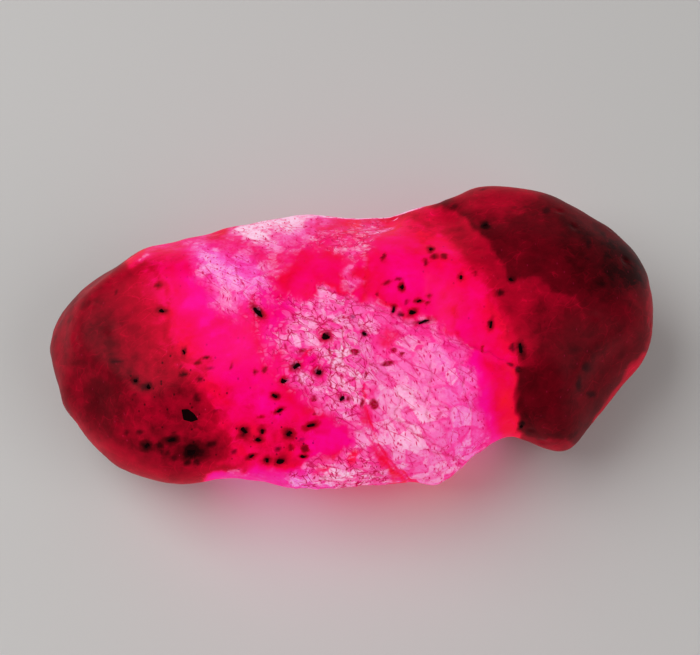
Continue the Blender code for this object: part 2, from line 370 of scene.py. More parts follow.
worn = paint(drawn(points_of(stone)), WORN_START, UNWORN_ZONES)
worn = worn * (1.0 - WORN_LESS_BEHIND * hidden_share(stone))
keep_group(stone, "worn", worn)
apply_modifier(stone, "SMOOTH", factor=0.5, iterations=WORN_STROKES, vertex_group="worn")
apply_modifier(stone, "DISPLACE", strength=WORN_SWELL, mid_level=0.0, vertex_group="worn")
print("worn smooth, but for", len(UNWORN_ZONES), "zones")

# %% [markdown]
# ## Finer cells at the broken corner
#
# The broken face is rough on a scale of tenths of a millimetre, and the worn skin isn't. A finer
# remesh of the whole stone would spend most of its triangles on smooth skin. Each cell of the
# corner alone is therefore cut in four.

# %% Cut the corner's cells finer
corner = loop_distance(drawn(points_of(stone)), BROKEN_CORNER) < 0.0
corner &= hidden_share(stone) < 0.5
bpy.ops.object.mode_set(mode="EDIT")
bpy.ops.mesh.select_mode(type="VERT")
bpy.ops.mesh.select_all(action="DESELECT")
bpy.ops.object.mode_set(mode="OBJECT")
stone.data.vertices.foreach_set("select", corner)
bpy.ops.object.mode_set(mode="EDIT")
bpy.ops.mesh.subdivide(number_cuts=1, smoothness=0.0)
bpy.ops.object.mode_set(mode="OBJECT")
print("with finer cells:", count_triangles(stone), "triangles")

# %% [markdown]
# ## Pits
#
# Where stones knocked against each other in the river, small shallow pits are left. Cutting a ball
# out of the stone for each would take 260 boolean cuts. Instead, the points round each pit's
# middle are pushed in, most of all in its middle, and the deepest push wins where two pits meet.

# %% Pits in the worn skin
PIT_COUNT = 260
PIT_WIDTHS = (0.25, 0.8)
PIT_STRETCH = (0.7, 1.4)
PIT_DEPTH = 0.16

dice = np.random.default_rng(31)
skin_points = points_of(stone)
sunk = np.zeros(len(skin_points))
for middle in skin_points[dice.choice(len(skin_points), PIT_COUNT, replace=False)]:
    width = dice.uniform(*PIT_WIDTHS) ** 1.5 * MM
    away = np.linalg.norm((skin_points - middle) * dice.uniform(*PIT_STRETCH, 3), axis=1)
    sunk = np.maximum(sunk, PIT_DEPTH * width * nearness(away, width))
push_out(stone, -sunk)
print("pits:", PIT_COUNT, "the deepest, mm:", round(sunk.max() / MM, 3))

# %% [markdown]
# ## Where the stone is cracked
#
# The pale parts of the stone are not another mineral. They are full of fine cracks that scatter
# the light, so they look frosted, and their skin is rough. Between them the stone is clear. The
# cracks themselves are far too fine to model, so each patch is a loop that says how frosted the
# ruby is inside it, and small windows of clear ruby are laid over the patches.

# %% The frosted patches: 0 is clear ruby, 1 is full frost
FROST_ZONES = [
    ("veil", 0.70, 2.6, [
        (-13.7, 7.3), (-12.5, 7.6), (-11.2, 7.0), (-9.6, 6.3), (-7.6, 5.6), (-6.1, 4.9), (-7.0, 3.6),
        (-7.3, 2.3), (-8.3, 1.4), (-9.8, 1.0), (-11.2, 1.8), (-11.9, 3.1), (-12.8, 5.1)]),
    ("veil_core", 1.05, 1.8, [
        (-12.0, 5.8), (-10.6, 5.6), (-9.2, 4.6), (-8.8, 3.2), (-10.0, 2.8), (-11.4, 4.0)]),
    ("top_edge", 0.95, 2.2, [
        (-10.3, 7.3), (-8.7, 9.2), (-6.6, 10.0), (-4.2, 10.3), (-2.4, 9.6), (-1.6, 8.9), (-2.9, 8.1),
        (-3.9, 7.3), (-5.2, 6.3), (-7.3, 6.2), (-9.1, 6.3)]),
    ("veil_gap", 0.28, 1.2, [
        (-11.2, 7.7), (-8.6, 7.2), (-6.0, 6.3), (-4.4, 5.5), (-5.0, 4.9), (-7.0, 5.8), (-9.4, 6.5),
        (-11.2, 7.1)]),
    ("top_centre", 0.43, 2.2, [
        (-4.0, 6.9), (-2.3, 8.3), (-0.4, 8.3), (1.0, 8.8), (2.7, 8.8), (2.0, 6.8), (1.2, 5.4), (-0.2, 5.3),
        (-1.7, 6.6)]),
    ("island", 0.6, 1.0, [(-0.7, 4.6), (0.2, 4.9), (1.0, 3.6), (0.0, 3.1)]),
    ("left_cells", 0.16, 2.6, [
        (-8.6, 3.2), (-6.2, 3.4), (-4.2, 2.6), (-1.7, 2.3), (-0.4, -0.2), (-2.8, -4.7), (-4.2, -5.7),
        (-6.2, -4.2), (-7.6, -2.4), (-8.4, 0.5)]),
    ("mid_cells", 0.77, 1.8, [
        (-4.9, 1.6), (-2.7, 2.4), (-0.4, 1.2), (1.6, -0.6), (2.2, -3.2), (1.2, -5.6), (0.9, -7.2),
        (-1.2, -7.9), (-2.9, -6.8), (-4.4, -4.9), (-5.0, -2.6), (-5.6, -0.6)]),
    ("bench", 0.85, 0.8, [
        (-2.7, 3.5), (-1.2, 3.1), (0.7, 2.3), (2.5, 1.3), (1.8, -0.2), (-0.4, 0.8), (-2.1, 1.5)]),
    ("broken_face", 0.80, 2.0, [
        (-0.4, 0.8), (1.8, 1.9), (4.2, 1.0), (6.3, 0.3), (8.5, -1.0), (9.6, -2.2), (9.9, -4.4),
        (10.5, -6.2), (11.2, -8.3), (11.8, -9.8), (10.6, -11.3), (8.7, -12.8), (7.5, -14.6), (5.2, -13.7),
        (3.5, -11.2), (2.3, -9.3), (1.8, -7.2), (1.3, -5.9), (2.2, -4.4), (1.0, -2.0), (-0.2, -1.0)]),
    ("face_top", 0.62, 1.6, [(1.6, 1.4), (4.2, 0.9), (8.2, -0.9), (7.2, -2.4), (4.4, -1.4), (2.2, -0.6)]),
    ("face_white", 1.1, 2.8, [
        (2.2, -3.5), (4.5, -2.2), (6.8, -3.2), (7.4, -6.5), (8.0, -9.5), (6.5, -12.4), (4.0, -11.0),
        (2.4, -8.5)]),
    ("strip", 0.6, 0.8, [(-0.2, -6.4), (1.0, -6.9), (1.8, -9.3), (1.5, -10.3), (0.2, -9.3), (-0.4, -7.7)]),
    ("bevel", 0.78, 1.0, [
        (-4.5, -13.7), (-5.3, -12.3), (-3.7, -11.5), (-1.5, -10.6), (0.5, -9.7), (1.5, -9.3), (2.2, -10.7),
        (3.2, -12.2), (4.3, -13.8), (0.0, -14.4), (-3.3, -14.3)]),
    ("face_fade", 0.84, 1.8, [
        (8.4, -1.2), (9.7, -1.9), (10.3, -5.0), (10.8, -9.0), (10.2, -11.4), (9.0, -9.0), (8.6, -5.0)]),
    ("left_streak", 0.32, 0.7, [(-18.3, 5.4), (-16.6, 6.9), (-13.6, 7.8), (-14.5, 6.6), (-16.4, 5.8)]),
    ("foot_glow", 0.27, 0.8, [(-11.5, -12.3), (-8.0, -11.9), (-5.0, -12.3), (-4.6, -13.8), (-12.0, -13.8)]),
    ("grain_window", 0.25, 1.0, [(-2.7, 0.0), (-1.4, 0.0), (-1.4, -1.4), (-2.7, -1.4)]),
    ("red_window", 0.15, 1.0, [
        (-5.0, -2.0), (-3.5, -1.6), (-2.0, -3.0), (-2.3, -4.2), (-3.7, -3.8), (-4.8, -3.3)]),
    ("bevel_window", 0.2, 0.7, [(-3.6, -11.7), (-2.2, -11.5), (-1.6, -12.2), (-2.8, -12.5)]),
    ("strip_window", 0.2, 0.6, [(-0.3, -10.5), (0.8, -10.3), (0.7, -11.2), (-0.2, -11.3)]),
    ("pink_window", 0.38, 1.2, [(2.3, 0.4), (4.0, 0.1), (4.3, -1.0), (3.5, -1.9), (2.2, -1.2)]),
    ("ledge_pale", 0.78, 0.8, [
        (-2.6, 3.2), (0.8, 1.9), (3.3, 0.8), (6.0, -0.2), (8.2, -1.2), (7.6, -2.0), (4.6, -0.6), (1.6, 0.6),
        (-1.8, 2.4)]),
]
print("frosted patches and windows:", len(FROST_ZONES))

# %% [markdown]
# ## The long cracks
#
# Some cracks are long enough to follow by eye: the edge of the ledge, the seam where the broken
# corner meets the body, and fine ones across the broken face. Inside the clear ruby there are
# faint veils too, which are only a little darker. Each is a row of points. A curve with a bevel
# could be cut out of the stone along each row, but a crack is a line with no width to speak of,
# so the distance to the row is used, for a shallow groove and for a dark line.

# %% The cracks, the seam, and the faint lines inside the clear ruby
CRACK_ROWS = {
    "ledge": [
        (-2.7, 3.4), (-0.8, 2.8), (0.7, 2.1), (2.2, 1.5), (3.3, 1.1), (4.8, 0.4), (7.1, -0.3), (8.1, -0.9),
        (8.9, -1.4), (9.8, -1.6), (11.0, -1.9), (12.3, -2.5), (13.3, -3.1), (14.0, -3.4)],
    "under_ledge": [(-4.8, 1.2), (-3.5, 0.8), (-2.8, 0.4)],
    "bench_low": [(-2.8, 0.4), (-1.5, 0.6), (-0.2, 0.9), (0.8, 0.2), (2.0, -0.1), (3.0, -0.9)],
    "face_long": [(2.2, -8.6), (3.7, -7.6), (5.6, -8.9), (7.4, -9.9), (9.2, -11.4)],
    "face_down": [(6.7, -2.9), (6.8, -3.9), (6.6, -5.1), (6.3, -6.4), (6.4, -7.4), (6.7, -8.2)],
    "face_hook": [(4.0, -5.4), (4.2, -6.1), (3.9, -6.9), (3.7, -7.3)],
    "face_slant": [(1.7, -2.9), (2.7, -3.6), (3.5, -4.4), (4.4, -5.0), (5.3, -5.6), (6.3, -6.3)],
    "face_low": [(3.7, -7.6), (4.9, -7.9), (5.5, -8.3), (5.6, -9.3)],
    "face_foot": [(6.1, -10.2), (7.2, -10.4), (8.2, -10.7), (9.4, -11.0)],
    "face_right": [(9.2, -2.9), (9.4, -4.4), (9.6, -5.7), (10.1, -6.9)],
    "cell_ring": [
        (-1.2, -3.1), (-0.1, -3.3), (0.7, -3.9), (0.2, -4.4), (-0.4, -4.7), (-1.0, -3.9), (-1.2, -3.1)],
    "cell_up": [(-0.7, 0.0), (-0.4, -1.2), (-0.6, -2.5), (-0.7, -2.9), (-1.2, -3.1)],
    "cell_left": [(-3.2, -2.9), (-2.6, -2.5), (-1.7, -2.3), (-0.7, -2.5)],
}
SEAM_ROW = [
    (1.2, -4.7), (1.2, -6.2), (1.6, -7.6), (2.0, -8.9), (2.7, -10.4), (3.8, -11.7), (4.9, -12.6),
    (6.0, -13.4),
]
SEAM_FOOT = [(2.6, -10.8), (3.3, -11.6), (4.4, -12.7), (5.2, -13.6)]
VEIL_ROWS = {
    "upright": [(1.3, 7.3), (1.3, 6.0), (1.5, 5.1), (1.3, 3.8), (1.2, 2.5)],
    "curl": [(8.7, 1.7), (8.7, 0.8), (8.6, 0.2), (9.0, -0.8), (9.3, -1.4)],
    "slope": [(11.4, 2.5), (11.6, 1.7), (12.1, 1.0), (12.9, 0.3), (13.1, -0.7), (13.4, -1.4)],
    "high": [(5.3, 9.2), (6.1, 8.8), (6.8, 8.2), (8.0, 7.9), (9.4, 8.2)],
    "nick": [(5.9, 7.1), (6.7, 7.7), (7.4, 8.1)],
    "left_low": [(-13.9, -4.2), (-12.9, -5.2), (-12.0, -6.2), (-11.4, -6.9)],
    "left_high": [(-16.4, 4.9), (-15.2, 3.2), (-15.0, 1.2), (-15.4, -0.6), (-14.6, -2.2)],
}
print("cracks:", len(CRACK_ROWS), "veil lines:", len(VEIL_ROWS))

# %% [markdown]
# ## The side that the eye doesn't see
#
# Nothing is drawn round the back, so the skin there needs values of its own. Repeating the front
# would look stamped. Blotches from a few random waves are free, have no edges and no repeats, and
# they are the same at each run, because each has its own seed.

# %% Blotches, and the frost all round the stone
FROST_BEHIND = 0.95


def blotches(places, seed, length):
    """A smooth random field from about -1 to 1, with patches of this length in mm."""
    dice = np.random.default_rng(seed)
    field = np.zeros(len(places))
    for octave in range(3):
        finer, weaker = 1.9 ** octave, 1.8 ** octave
        for wave in range(4):
            toward = dice.normal(size=3)
            toward *= 2.0 * math.pi / (length * MM * np.linalg.norm(toward)) * finer
            field += np.sin(places @ toward + dice.uniform(0.0, 6.3)) / weaker
    return field / 3.0


def near_and_far(near, far):
    """The near side's values where the eye sees the skin, going over to the far side's behind."""
    return near + hidden * (far - near)


hidden = hidden_share(stone)
shown = 1.0 - hidden
skin_points = points_of(stone)
normals = normals_of(stone)
along_stone = skin_points[:, 0] / MM + 2.0 * blotches(skin_points, seed=1, length=9.0)
thin_middle = rise(along_stone, -18.0, 9.0) * rise(along_stone, 16.0, -6.0)
frost_seen = wandered(drawn(skin_points), seed=9, amount=0.22, length=3.0)
frost_patches = smooth_step(0.5 + 1.6 * blotches(skin_points, seed=6, length=8.0))
frost_behind = FROST_BEHIND * thin_middle * frost_patches
frost = near_and_far(paint(frost_seen, 0.0, FROST_ZONES), frost_behind)
print("frosted skin, in all:", f"{np.mean(frost > 0.5):.0%}")

# %% [markdown]
# ## The bright far rim
#
# Along the top's far edge the light leaves through a thin sliver of stone, and draws a pale line there, which
# is painted in as full, white frost. A loop as thin as that line would have to follow the outline exactly.
# The rim is found by the skin's own direction instead: it is where the eye only just grazes the skin.

# %% Painted light on the top's far rim, laid into the frost
RIM_LIGHT_AS_FROST = 1.1

facing = facing_eye(stone)
# where the skin just turns from the eye, on its far side, and only along the stone's middle
top_rim = rise(facing, 0.29, -0.12) * rise(facing, -0.30, 0.3) * rise(normals[:, 1], 0.0, 0.3)
top_rim *= rise(along_stone, -3.0, 2.0) * rise(along_stone, 5.5, -1.5)
# the rim's painted light is laid into the frost, full and white
frost = np.maximum(frost, RIM_LIGHT_AS_FROST * top_rim)
print("skin on the frosted rim:", f"{np.mean(top_rim > 0.5):.1%}")

# %% [markdown]
# ## The broken skin
#
# Ruby has no plane along which it splits cleanly. It breaks into small blocks that all lie about
# the same way, each with a slanting flat of its own. Modelling thousands of blocks by hand would
# be hopeless. Space is cut into random cells along the break's own three directions instead. A
# point takes the height of its cell's flat, and a second, finer set of cells adds crumbs.

# %% Bend the space that is cut up
BEND_WAVES = 5


def bent(places, seed):
    """Bends places a little, so that the cells' flats don't run dead straight."""
    dice = np.random.default_rng(seed)
    waves = dice.normal(size=(BEND_WAVES, 3)) * 0.9
    turns = dice.normal(size=(BEND_WAVES, 3)) * 0.12
    bend = sum(np.sin(places[:, [1, 2, 0]] @ wave / MM + phase)[:, None] * turn
               for phase, (wave, turn) in enumerate(zip(waves, turns)))
    return places + bend * MM


bent_skin = bent(skin_points, seed=12)
print("bent by at most, mm:", round(np.abs(bent_skin - skin_points).max() / MM, 2))

# %% Random cells that lie along the broken face
CHIP_AXES = [(0.82, -0.57, 0.0), (0.51, 0.74, 0.44), (-0.25, -0.36, 0.90)]
CHIP_SIZES = (1.8, 1.1, 1.4)
CRUMB_SIZES = (0.8, 0.45, 0.6)
CELLS_BEFORE_REPEAT = 16
FAR_AWAY = 9.0


def chip_cells(places, sizes, seed):
    """Cuts space into random cells of these sizes in mm, along, across and into the broken face.

    Gives each place its cell's tone from 0 to 1, its height on the cell's own slanting flat, from
    about -1 to 1, and its distance to the cell's border in cell sizes.
    """
    # each cell has seven random numbers: its middle's place (3), its tone (1), its slant (3)
    dice = np.random.default_rng(seed)
    table = dice.uniform(0.0, 1.0, (CELLS_BEFORE_REPEAT,) * 3 + (7,))
    along, across, inward = np.array(CHIP_AXES)
    inner = np.stack([places @ along, places @ across, places @ inward], axis=1)
    inner = inner / (np.array(sizes) * MM)
    home = np.floor(inner).astype(int)
    first = np.full(len(inner), FAR_AWAY)
    second = np.full(len(inner), FAR_AWAY)
    tone = np.zeros(len(inner))
    height = np.zeros(len(inner))
    for offset in itertools.product((-1, 0, 1), repeat=3):
        near = home + np.array(offset)
        row = table[tuple(near.T % CELLS_BEFORE_REPEAT)]
        gone = inner - near - row[:, :3]
        away = np.linalg.norm(gone, axis=1)
        closer = away < first
        second = np.where(closer, first, np.minimum(second, away))
        first = np.where(closer, away, first)
        tone = np.where(closer, row[:, 3], tone)
        slant = row[:, 4:] - 0.5
        flat = np.sum(2.0 * slant * gone, axis=1) + 0.5 * (row[:, 3] - 0.5)
        height = np.where(closer, flat, height)
    return tone, height, second - first


chip_tone, chip, chip_border = chip_cells(bent_skin, CHIP_SIZES, seed=2)
_, crumb, _ = chip_cells(bent_skin, CRUMB_SIZES, seed=5)
print("chip heights, in shares:", round(chip.min(), 2), "to", round(chip.max(), 2))

# %% Raise the chips, and press the cracks in
BROKEN_SKIN = ("left_cells", "mid_cells", "bench", "broken_face", "strip", "bevel")
CHIP_HEIGHT = 0.20 * MM
CRUMB_HEIGHT = 0.07 * MM
CRACK_DEPTH, CRACK_REACH = 0.12 * MM, 0.22
SEAM_DEPTH, SEAM_REACH = 0.20 * MM, 0.4

broken = paint(frost_seen, 0.0, [zone for zone in FROST_ZONES if zone[0] in BROKEN_SKIN])
broken = np.clip(broken, 0.0, 1.0) * shown
line_seen = wandered(drawn(skin_points), seed=5, amount=0.06, length=1.2)
crack_distance = nearest_row(line_seen, CRACK_ROWS.values())
seam_distance = row_distance(line_seen, SEAM_ROW)
pressed = CRACK_DEPTH * nearness(crack_distance, CRACK_REACH)
pressed += SEAM_DEPTH * nearness(seam_distance, SEAM_REACH)
push_out(stone, broken * (CHIP_HEIGHT * chip + CRUMB_HEIGHT * crumb) - pressed * shown)
print("chips raised, and cracks pressed in:", len(CRACK_ROWS) + 1)

# %% [markdown]
# ## Where the light comes through
#
# How bright each part looks depends on what lies under it: the thick lobes swallow the light, and
# the thin or cracked parts let it out. A renderer can follow light through a stone, but it would
# need every crack inside this one. So the light that arrives at the skin is drawn. Each loop pulls
# the value inside it towards its own, with a soft edge, and later loops lie over earlier ones.

# %% The light in the stone: 0 is nearly black garnet, 1 is full pink
LIGHT_START = 0.34
LIGHT_ZONES = [
    ("left_claret", 0.27, 3.0, [
        (-22.1, 0.5), (-18.4, 2.3), (-17.4, -1.0), (-18.9, -6.0), (-20.9, -8.7), (-23.3, -6.0)]),
    ("left_ramp", 0.46, 3.4, [
        (-20.1, 3.9), (-16.6, 6.4), (-14.5, 2.3), (-15.4, -3.7), (-18.1, -4.4), (-18.8, -1.0)]),
    ("bright_body", 0.80, 4.4, [
        (-16.6, 5.4), (-13.7, 7.8), (-7.5, 10.1), (-1.7, 10.4), (4.2, 9.4), (7.5, 9.8), (10.0, 8.3),
        (11.5, 5.4), (13.1, 2.3), (15.0, -1.5), (16.0, -3.7), (16.5, -11.3), (7.5, -14.5), (-12.5, -14.5),
        (-12.2, -11.8), (-10.6, -9.3), (-11.2, -7.6), (-12.4, -6.0), (-13.2, -4.2), (-14.4, -2.7),
        (-16.0, -0.2)]),
    ("dark_spot", 0.19, 1.6, [
        (-21.8, -5.0), (-20.8, -4.4), (-19.7, -5.0), (-19.4, -6.2), (-20.3, -7.2), (-21.4, -6.9)]),
    ("bed_side", 0.60, 2.0, [
        (-12.4, -6.9), (-11.4, -7.7), (-10.4, -8.2), (-9.6, -9.4), (-9.8, -10.8), (-11.6, -10.6),
        (-12.4, -8.6)]),
    ("grain_bed", 0.38, 2.0, [
        (-16.6, -5.0), (-15.0, -4.8), (-13.6, -4.8), (-13.0, -5.9), (-11.8, -7.4), (-11.8, -8.6),
        (-10.6, -9.6), (-10.4, -10.6), (-12.0, -11.8), (-15.0, -11.3), (-17.4, -10.1), (-18.6, -8.5),
        (-17.9, -6.2)]),
    ("bed_dark", 0.24, 1.2, [
        (-14.2, -9.4), (-12.6, -9.0), (-11.4, -9.6), (-11.8, -10.8), (-13.4, -11.2), (-14.6, -10.6)]),
    ("rim_strip", 0.44, 1.0, [
        (-23.1, -7.5), (-20.8, -9.0), (-17.4, -11.0), (-13.5, -12.2), (-9.8, -11.5), (-7.3, -11.8),
        (-7.3, -13.0), (-12.5, -13.8), (-17.4, -13.3), (-21.8, -10.8), (-23.9, -8.5)]),
    ("low_grains", 0.71, 1.4, [
        (-9.6, -8.0), (-6.0, -7.6), (-3.0, -8.6), (-3.2, -10.8), (-6.0, -11.6), (-9.6, -11.4)]),
    ("bottom_band", 1.0, 0.8, [
        (-12.0, -12.4), (-8.3, -11.7), (-1.7, -11.7), (-0.4, -14.7), (-12.5, -14.7)]),
    ("top_left_edge", 0.72, 0.8, [
        (-19.1, 6.0), (-16.6, 7.4), (-13.6, 8.6), (-7.3, 10.0), (-7.3, 8.6), (-12.5, 7.3), (-15.8, 5.9),
        (-18.3, 5.0)]),
    ("upper_mid", 0.62, 1.6, [
        (4.0, 10.4), (7.5, 11.1), (10.0, 10.3), (11.1, 7.8), (10.0, 6.8), (7.5, 7.9), (5.0, 8.4)]),
    ("mid_red", 0.42, 3.0, [
        (8.1, 9.6), (11.1, 7.9), (12.5, 5.4), (14.1, 3.9), (16.2, 3.2), (17.6, 2.2), (17.8, -0.2),
        (16.8, -2.0), (16.4, -4.0), (14.5, -3.4), (13.7, -0.2), (12.5, 2.3), (10.0, 5.4), (8.5, 7.3)]),
    ("mid_claret", 0.27, 2.0, [
        (15.4, 2.4), (18.2, 2.2), (18.8, 0.4), (17.6, -1.4), (15.2, -1.0), (14.6, 0.6)]),
    ("back_facet", 0.20, 0.5, [
        (7.1, 10.1), (9.6, 9.1), (11.0, 8.0), (12.0, 6.0), (13.3, 4.6), (15.8, 3.8), (18.3, 2.7),
        (19.6, 1.3), (26.8, 0.6), (26.8, 8.4), (20.8, 12.2), (15.8, 13.8), (10.4, 13.3), (8.3, 11.9)]),
    ("corner_glow", 0.40, 2.0, [
        (8.0, 10.6), (9.3, 13.3), (14.5, 12.8), (16.4, 10.9), (14.1, 9.9), (12.5, 8.8), (10.6, 9.4)]),
    ("deep_back", 0.08, 2.2, [
        (17.4, 9.4), (20.8, 8.8), (24.1, 5.4), (22.4, 1.3), (19.8, 2.3), (17.9, 4.8)]),
    ("right_shade", 0.19, 3.0, [
        (15.2, -2.6), (18.2, 0.4), (20.8, 2.6), (26.5, 2.4), (26.5, -2.0), (20.0, -9.0), (16.0, -8.0)]),
    ("lower_right", 0.16, 0.8, [
        (13.9, -3.7), (15.6, -3.2), (18.6, -2.0), (21.2, -0.6), (26.3, 0.0), (26.3, -1.9), (21.8, -8.2),
        (19.1, -11.3), (16.2, -10.8), (14.1, -10.2)]),
    ("night", 0.02, 1.8, [(20.8, 7.3), (22.9, 7.6), (24.6, 4.8), (24.1, 2.9), (22.1, 2.6), (20.8, 4.3)]),
    ("right_glow", 0.20, 1.4, [
        (20.4, 2.6), (23.8, 3.1), (24.5, 0.6), (24.1, -1.5), (21.8, -2.0), (20.6, -0.2)]),
    ("right_rim", 0.32, 0.4, [(24.4, 6.0), (26.3, 5.4), (26.3, -1.9), (24.7, -1.9), (24.9, 1.5)]),
    ("rim_streak", 0.46, 0.4, [
        (18.6, -10.3), (19.3, -9.0), (20.4, -7.2), (21.8, -5.7), (23.6, -2.9), (24.6, -1.9), (25.9, -2.4),
        (24.8, -5.0), (22.9, -7.4), (20.8, -10.2)]),
    ("right_foot", 0.36, 0.5, [
        (14.1, -8.8), (16.2, -9.2), (18.9, -9.7), (18.8, -11.5), (15.8, -11.3), (14.1, -10.8)]),
]
print("light zones:", len(LIGHT_ZONES))

# %% Lay the light on the skin, and guess it behind: brightest in the middle and beneath
ENDS_LIGHT = 0.20
MIDDLE_LIGHT = 0.60
BENEATH_LIGHT = 0.2
LIGHT_BLOTCHES = 0.08

skin_seen = wandered(drawn(points_of(stone)), seed=4, amount=0.16, length=4.0)
beneath = rise(normals[:, 2], -0.2, -0.5)
light_behind = ENDS_LIGHT + (MIDDLE_LIGHT + BENEATH_LIGHT * beneath) * thin_middle
light_behind += LIGHT_BLOTCHES * blotches(skin_points, seed=3, length=7.0)
light = near_and_far(paint(skin_seen, LIGHT_START, LIGHT_ZONES), light_behind)
print("light from", round(light.min(), 2), "to", round(light.max(), 2))

# %% [markdown]
# ## The tint of the light
#
# The same ruby looks orange-red where its light is warm and weak, and magenta or lavender where
# cracks have scattered it. One more set of loops says which way the colour leans. It is kept
# apart from the brightness, so that either can be mended alone.

# %% The tint: 0 is red, 1 is magenta, above 1 is lavender, below 0 is orange
TINT_START = 0.15
TINT_ZONES = [
    ("left_magenta", 0.7, 2.4, [
        (-13.5, 6.4), (-10.6, 4.9), (-8.3, 0.6), (-8.3, -1.2), (-10.1, -3.2), (-12.0, -2.4), (-12.8, -0.2),
        (-13.8, 2.3)]),
    ("low_magenta", 0.8, 1.2, [
        (-4.1, -7.9), (-3.2, -7.2), (-0.4, -7.7), (1.3, -8.7), (1.8, -9.8), (-1.7, -10.3), (-4.0, -11.8),
        (-4.8, -9.3)]),
    ("foot_magenta", 1.5, 0.8, [
        (-12.0, -12.4), (-8.3, -11.7), (-1.7, -11.7), (-0.4, -14.7), (-12.5, -14.7)]),
    ("face_magenta", 0.8, 0.8, [
        (9.3, -1.9), (11.3, -2.0), (12.6, -3.7), (12.3, -6.9), (13.3, -9.3), (11.5, -10.2), (10.6, -6.9),
        (10.0, -4.4)]),
    ("right_pink", 0.6, 2.0, [(2.2, 7.4), (5.6, 7.2), (9.0, 2.0), (11.2, -1.0), (8.0, -0.6), (3.0, 1.6)]),
    ("red_edge", -0.2, 1.4, [
        (11.1, -2.2), (14.0, -3.4), (14.1, -10.3), (12.8, -9.5), (12.0, -7.5), (11.2, -5.0)]),
    ("edge_orange", -0.5, 1.4, [
        (11.4, -5.8), (13.2, -4.8), (14.0, -5.4), (14.0, -8.6), (13.0, -8.9), (12.0, -8.0)]),
    ("corner_orange", -0.3, 0.5, [(13.0, -3.3), (14.0, -3.6), (14.1, -4.6), (13.5, -4.2)]),
    ("veil_lavender", 1.7, 2.4, [
        (-13.7, 7.3), (-11.2, 7.0), (-7.6, 5.6), (-6.4, 3.6), (-8.3, 1.4), (-11.2, 1.8), (-12.8, 5.1)]),
    ("ledge_red", -0.3, 0.7, [(2.4, 1.9), (5.0, 1.0), (9.0, -0.4), (8.2, -1.0), (4.6, 0.3)]),
    ("seam_red", 0.0, 0.6, [
        (1.3, -5.9), (1.8, -7.7), (2.2, -9.3), (2.9, -10.6), (4.2, -11.8), (5.8, -13.2), (4.3, -13.5),
        (2.8, -12.0), (1.8, -10.3), (1.3, -8.5)]),
    ("cells_pink", 0.9, 1.6, [
        (-8.2, 2.6), (-4.2, 2.4), (0.4, 1.6), (3.0, -2.0), (1.6, -5.6), (-0.6, -7.6), (-4.4, -5.6),
        (-7.4, -2.6)]),
    ("centre_pink", 0.8, 2.0, [
        (-13.0, 5.0), (-9.5, 3.4), (-8.2, -1.0), (-6.2, -5.6), (-5.4, -8.0), (-9.0, -7.0), (-11.0, -3.6),
        (-12.6, 0.0)]),
    ("face_pink", 1.1, 2.6, [
        (5.5, 0.3), (9.5, -1.5), (11.8, -5.0), (12.3, -9.0), (10.0, -12.0), (7.8, -12.6), (7.4, -6.0)]),
    ("centre_warm", 0.3, 2.0, [
        (-6.6, 7.0), (-3.6, 7.6), (-0.6, 6.4), (-0.4, 3.8), (-4.0, 4.2), (-6.4, 5.0)]),
    ("left_violet", 1.4, 2.0, [(-14.4, 4.4), (-12.4, 4.0), (-11.2, 2.4), (-12.2, 0.6), (-13.8, 1.4)]),
    ("left_up_pink", 0.6, 2.4, [(-18.0, 5.6), (-14.4, 7.2), (-13.6, 3.0), (-15.6, 1.6), (-17.6, 3.2)]),
    ("bevel_orange", -0.5, 1.0, [(-3.8, -11.4), (1.0, -10.0), (1.0, -11.4), (-1.4, -12.4), (-3.0, -12.7)]),
    ("grain_orange", -0.5, 0.8, [(-2.8, -0.4), (-1.8, 0.0), (-1.6, -1.2), (-2.8, -1.8), (-4.2, -2.4)]),
    ("top_orange", -0.9, 1.0, [(0.0, 8.6), (1.4, 8.6), (1.2, 7.2), (0.0, 7.4)]),
]
TINT_BEHIND = 0.45
TINT_BLOTCHES = 0.6

tint_behind = TINT_BEHIND + TINT_BLOTCHES * blotches(skin_points, seed=8, length=10.0)
tint = near_and_far(paint(skin_seen, TINT_START, TINT_ZONES), tint_behind)
print("tint zones:", len(TINT_ZONES))

# %% [markdown]
# ## How the frost shines
#
# Frosted ruby is nearly white where the light stands right behind it, and rose where it is weak.
# This could be worked out from the light, but the whitest frost is not where the ruby is
# brightest. So it has a few loops of its own.

# %% The blaze of the frost: 0 is pink, 1 is white, below 0 is deep rose
BLAZE_ZONES = [
    ("veil", 0.25, 2.0, [(-12.6, 6.4), (-10.6, 5.8), (-8.6, 4.4), (-8.4, 2.8), (-10.2, 2.4), (-11.8, 3.8)]),
    ("top_centre", 0.5, 1.2, [(-3.6, 7.4), (-1.0, 8.8), (2.4, 8.6), (1.2, 6.4), (-1.6, 6.4)]),
    ("cells", 0.3, 2.0, [(-4.0, 0.5), (-0.5, 0.5), (1.5, -3.0), (0.5, -6.5), (-3.0, -6.0), (-4.6, -3.0)]),
    ("left_streak", -0.6, 0.5, [(-18.3, 5.4), (-16.6, 7.3), (-13.0, 8.6), (-12.6, 7.2), (-16.4, 5.6)]),
    ("face_right", -0.5, 2.4, [
        (4.0, 1.6), (7.0, 0.4), (10.0, -2.0), (13.5, -9.5), (10.0, -12.0), (7.6, -8.0), (7.4, -3.0)]),
    ("top", 1.0, 1.2, [
        (-9.5, 7.9), (-7.6, 10.1), (-4.2, 10.6), (-2.5, 9.3), (-4.2, 8.4), (-6.1, 7.6), (-8.3, 7.3)]),
    ("face", 0.36, 2.6, [
        (1.8, -6.0), (3.5, -4.4), (5.8, -5.2), (6.6, -8.5), (5.8, -11.0), (3.8, -10.3), (2.5, -8.5)]),
    ("bevel", 0.45, 1.0, [
        (-4.2, -14.5), (-3.3, -12.5), (-0.8, -11.7), (1.8, -11.2), (2.2, -12.7), (0.0, -14.7)]),
]
BLAZE_BLOTCHES = 0.6
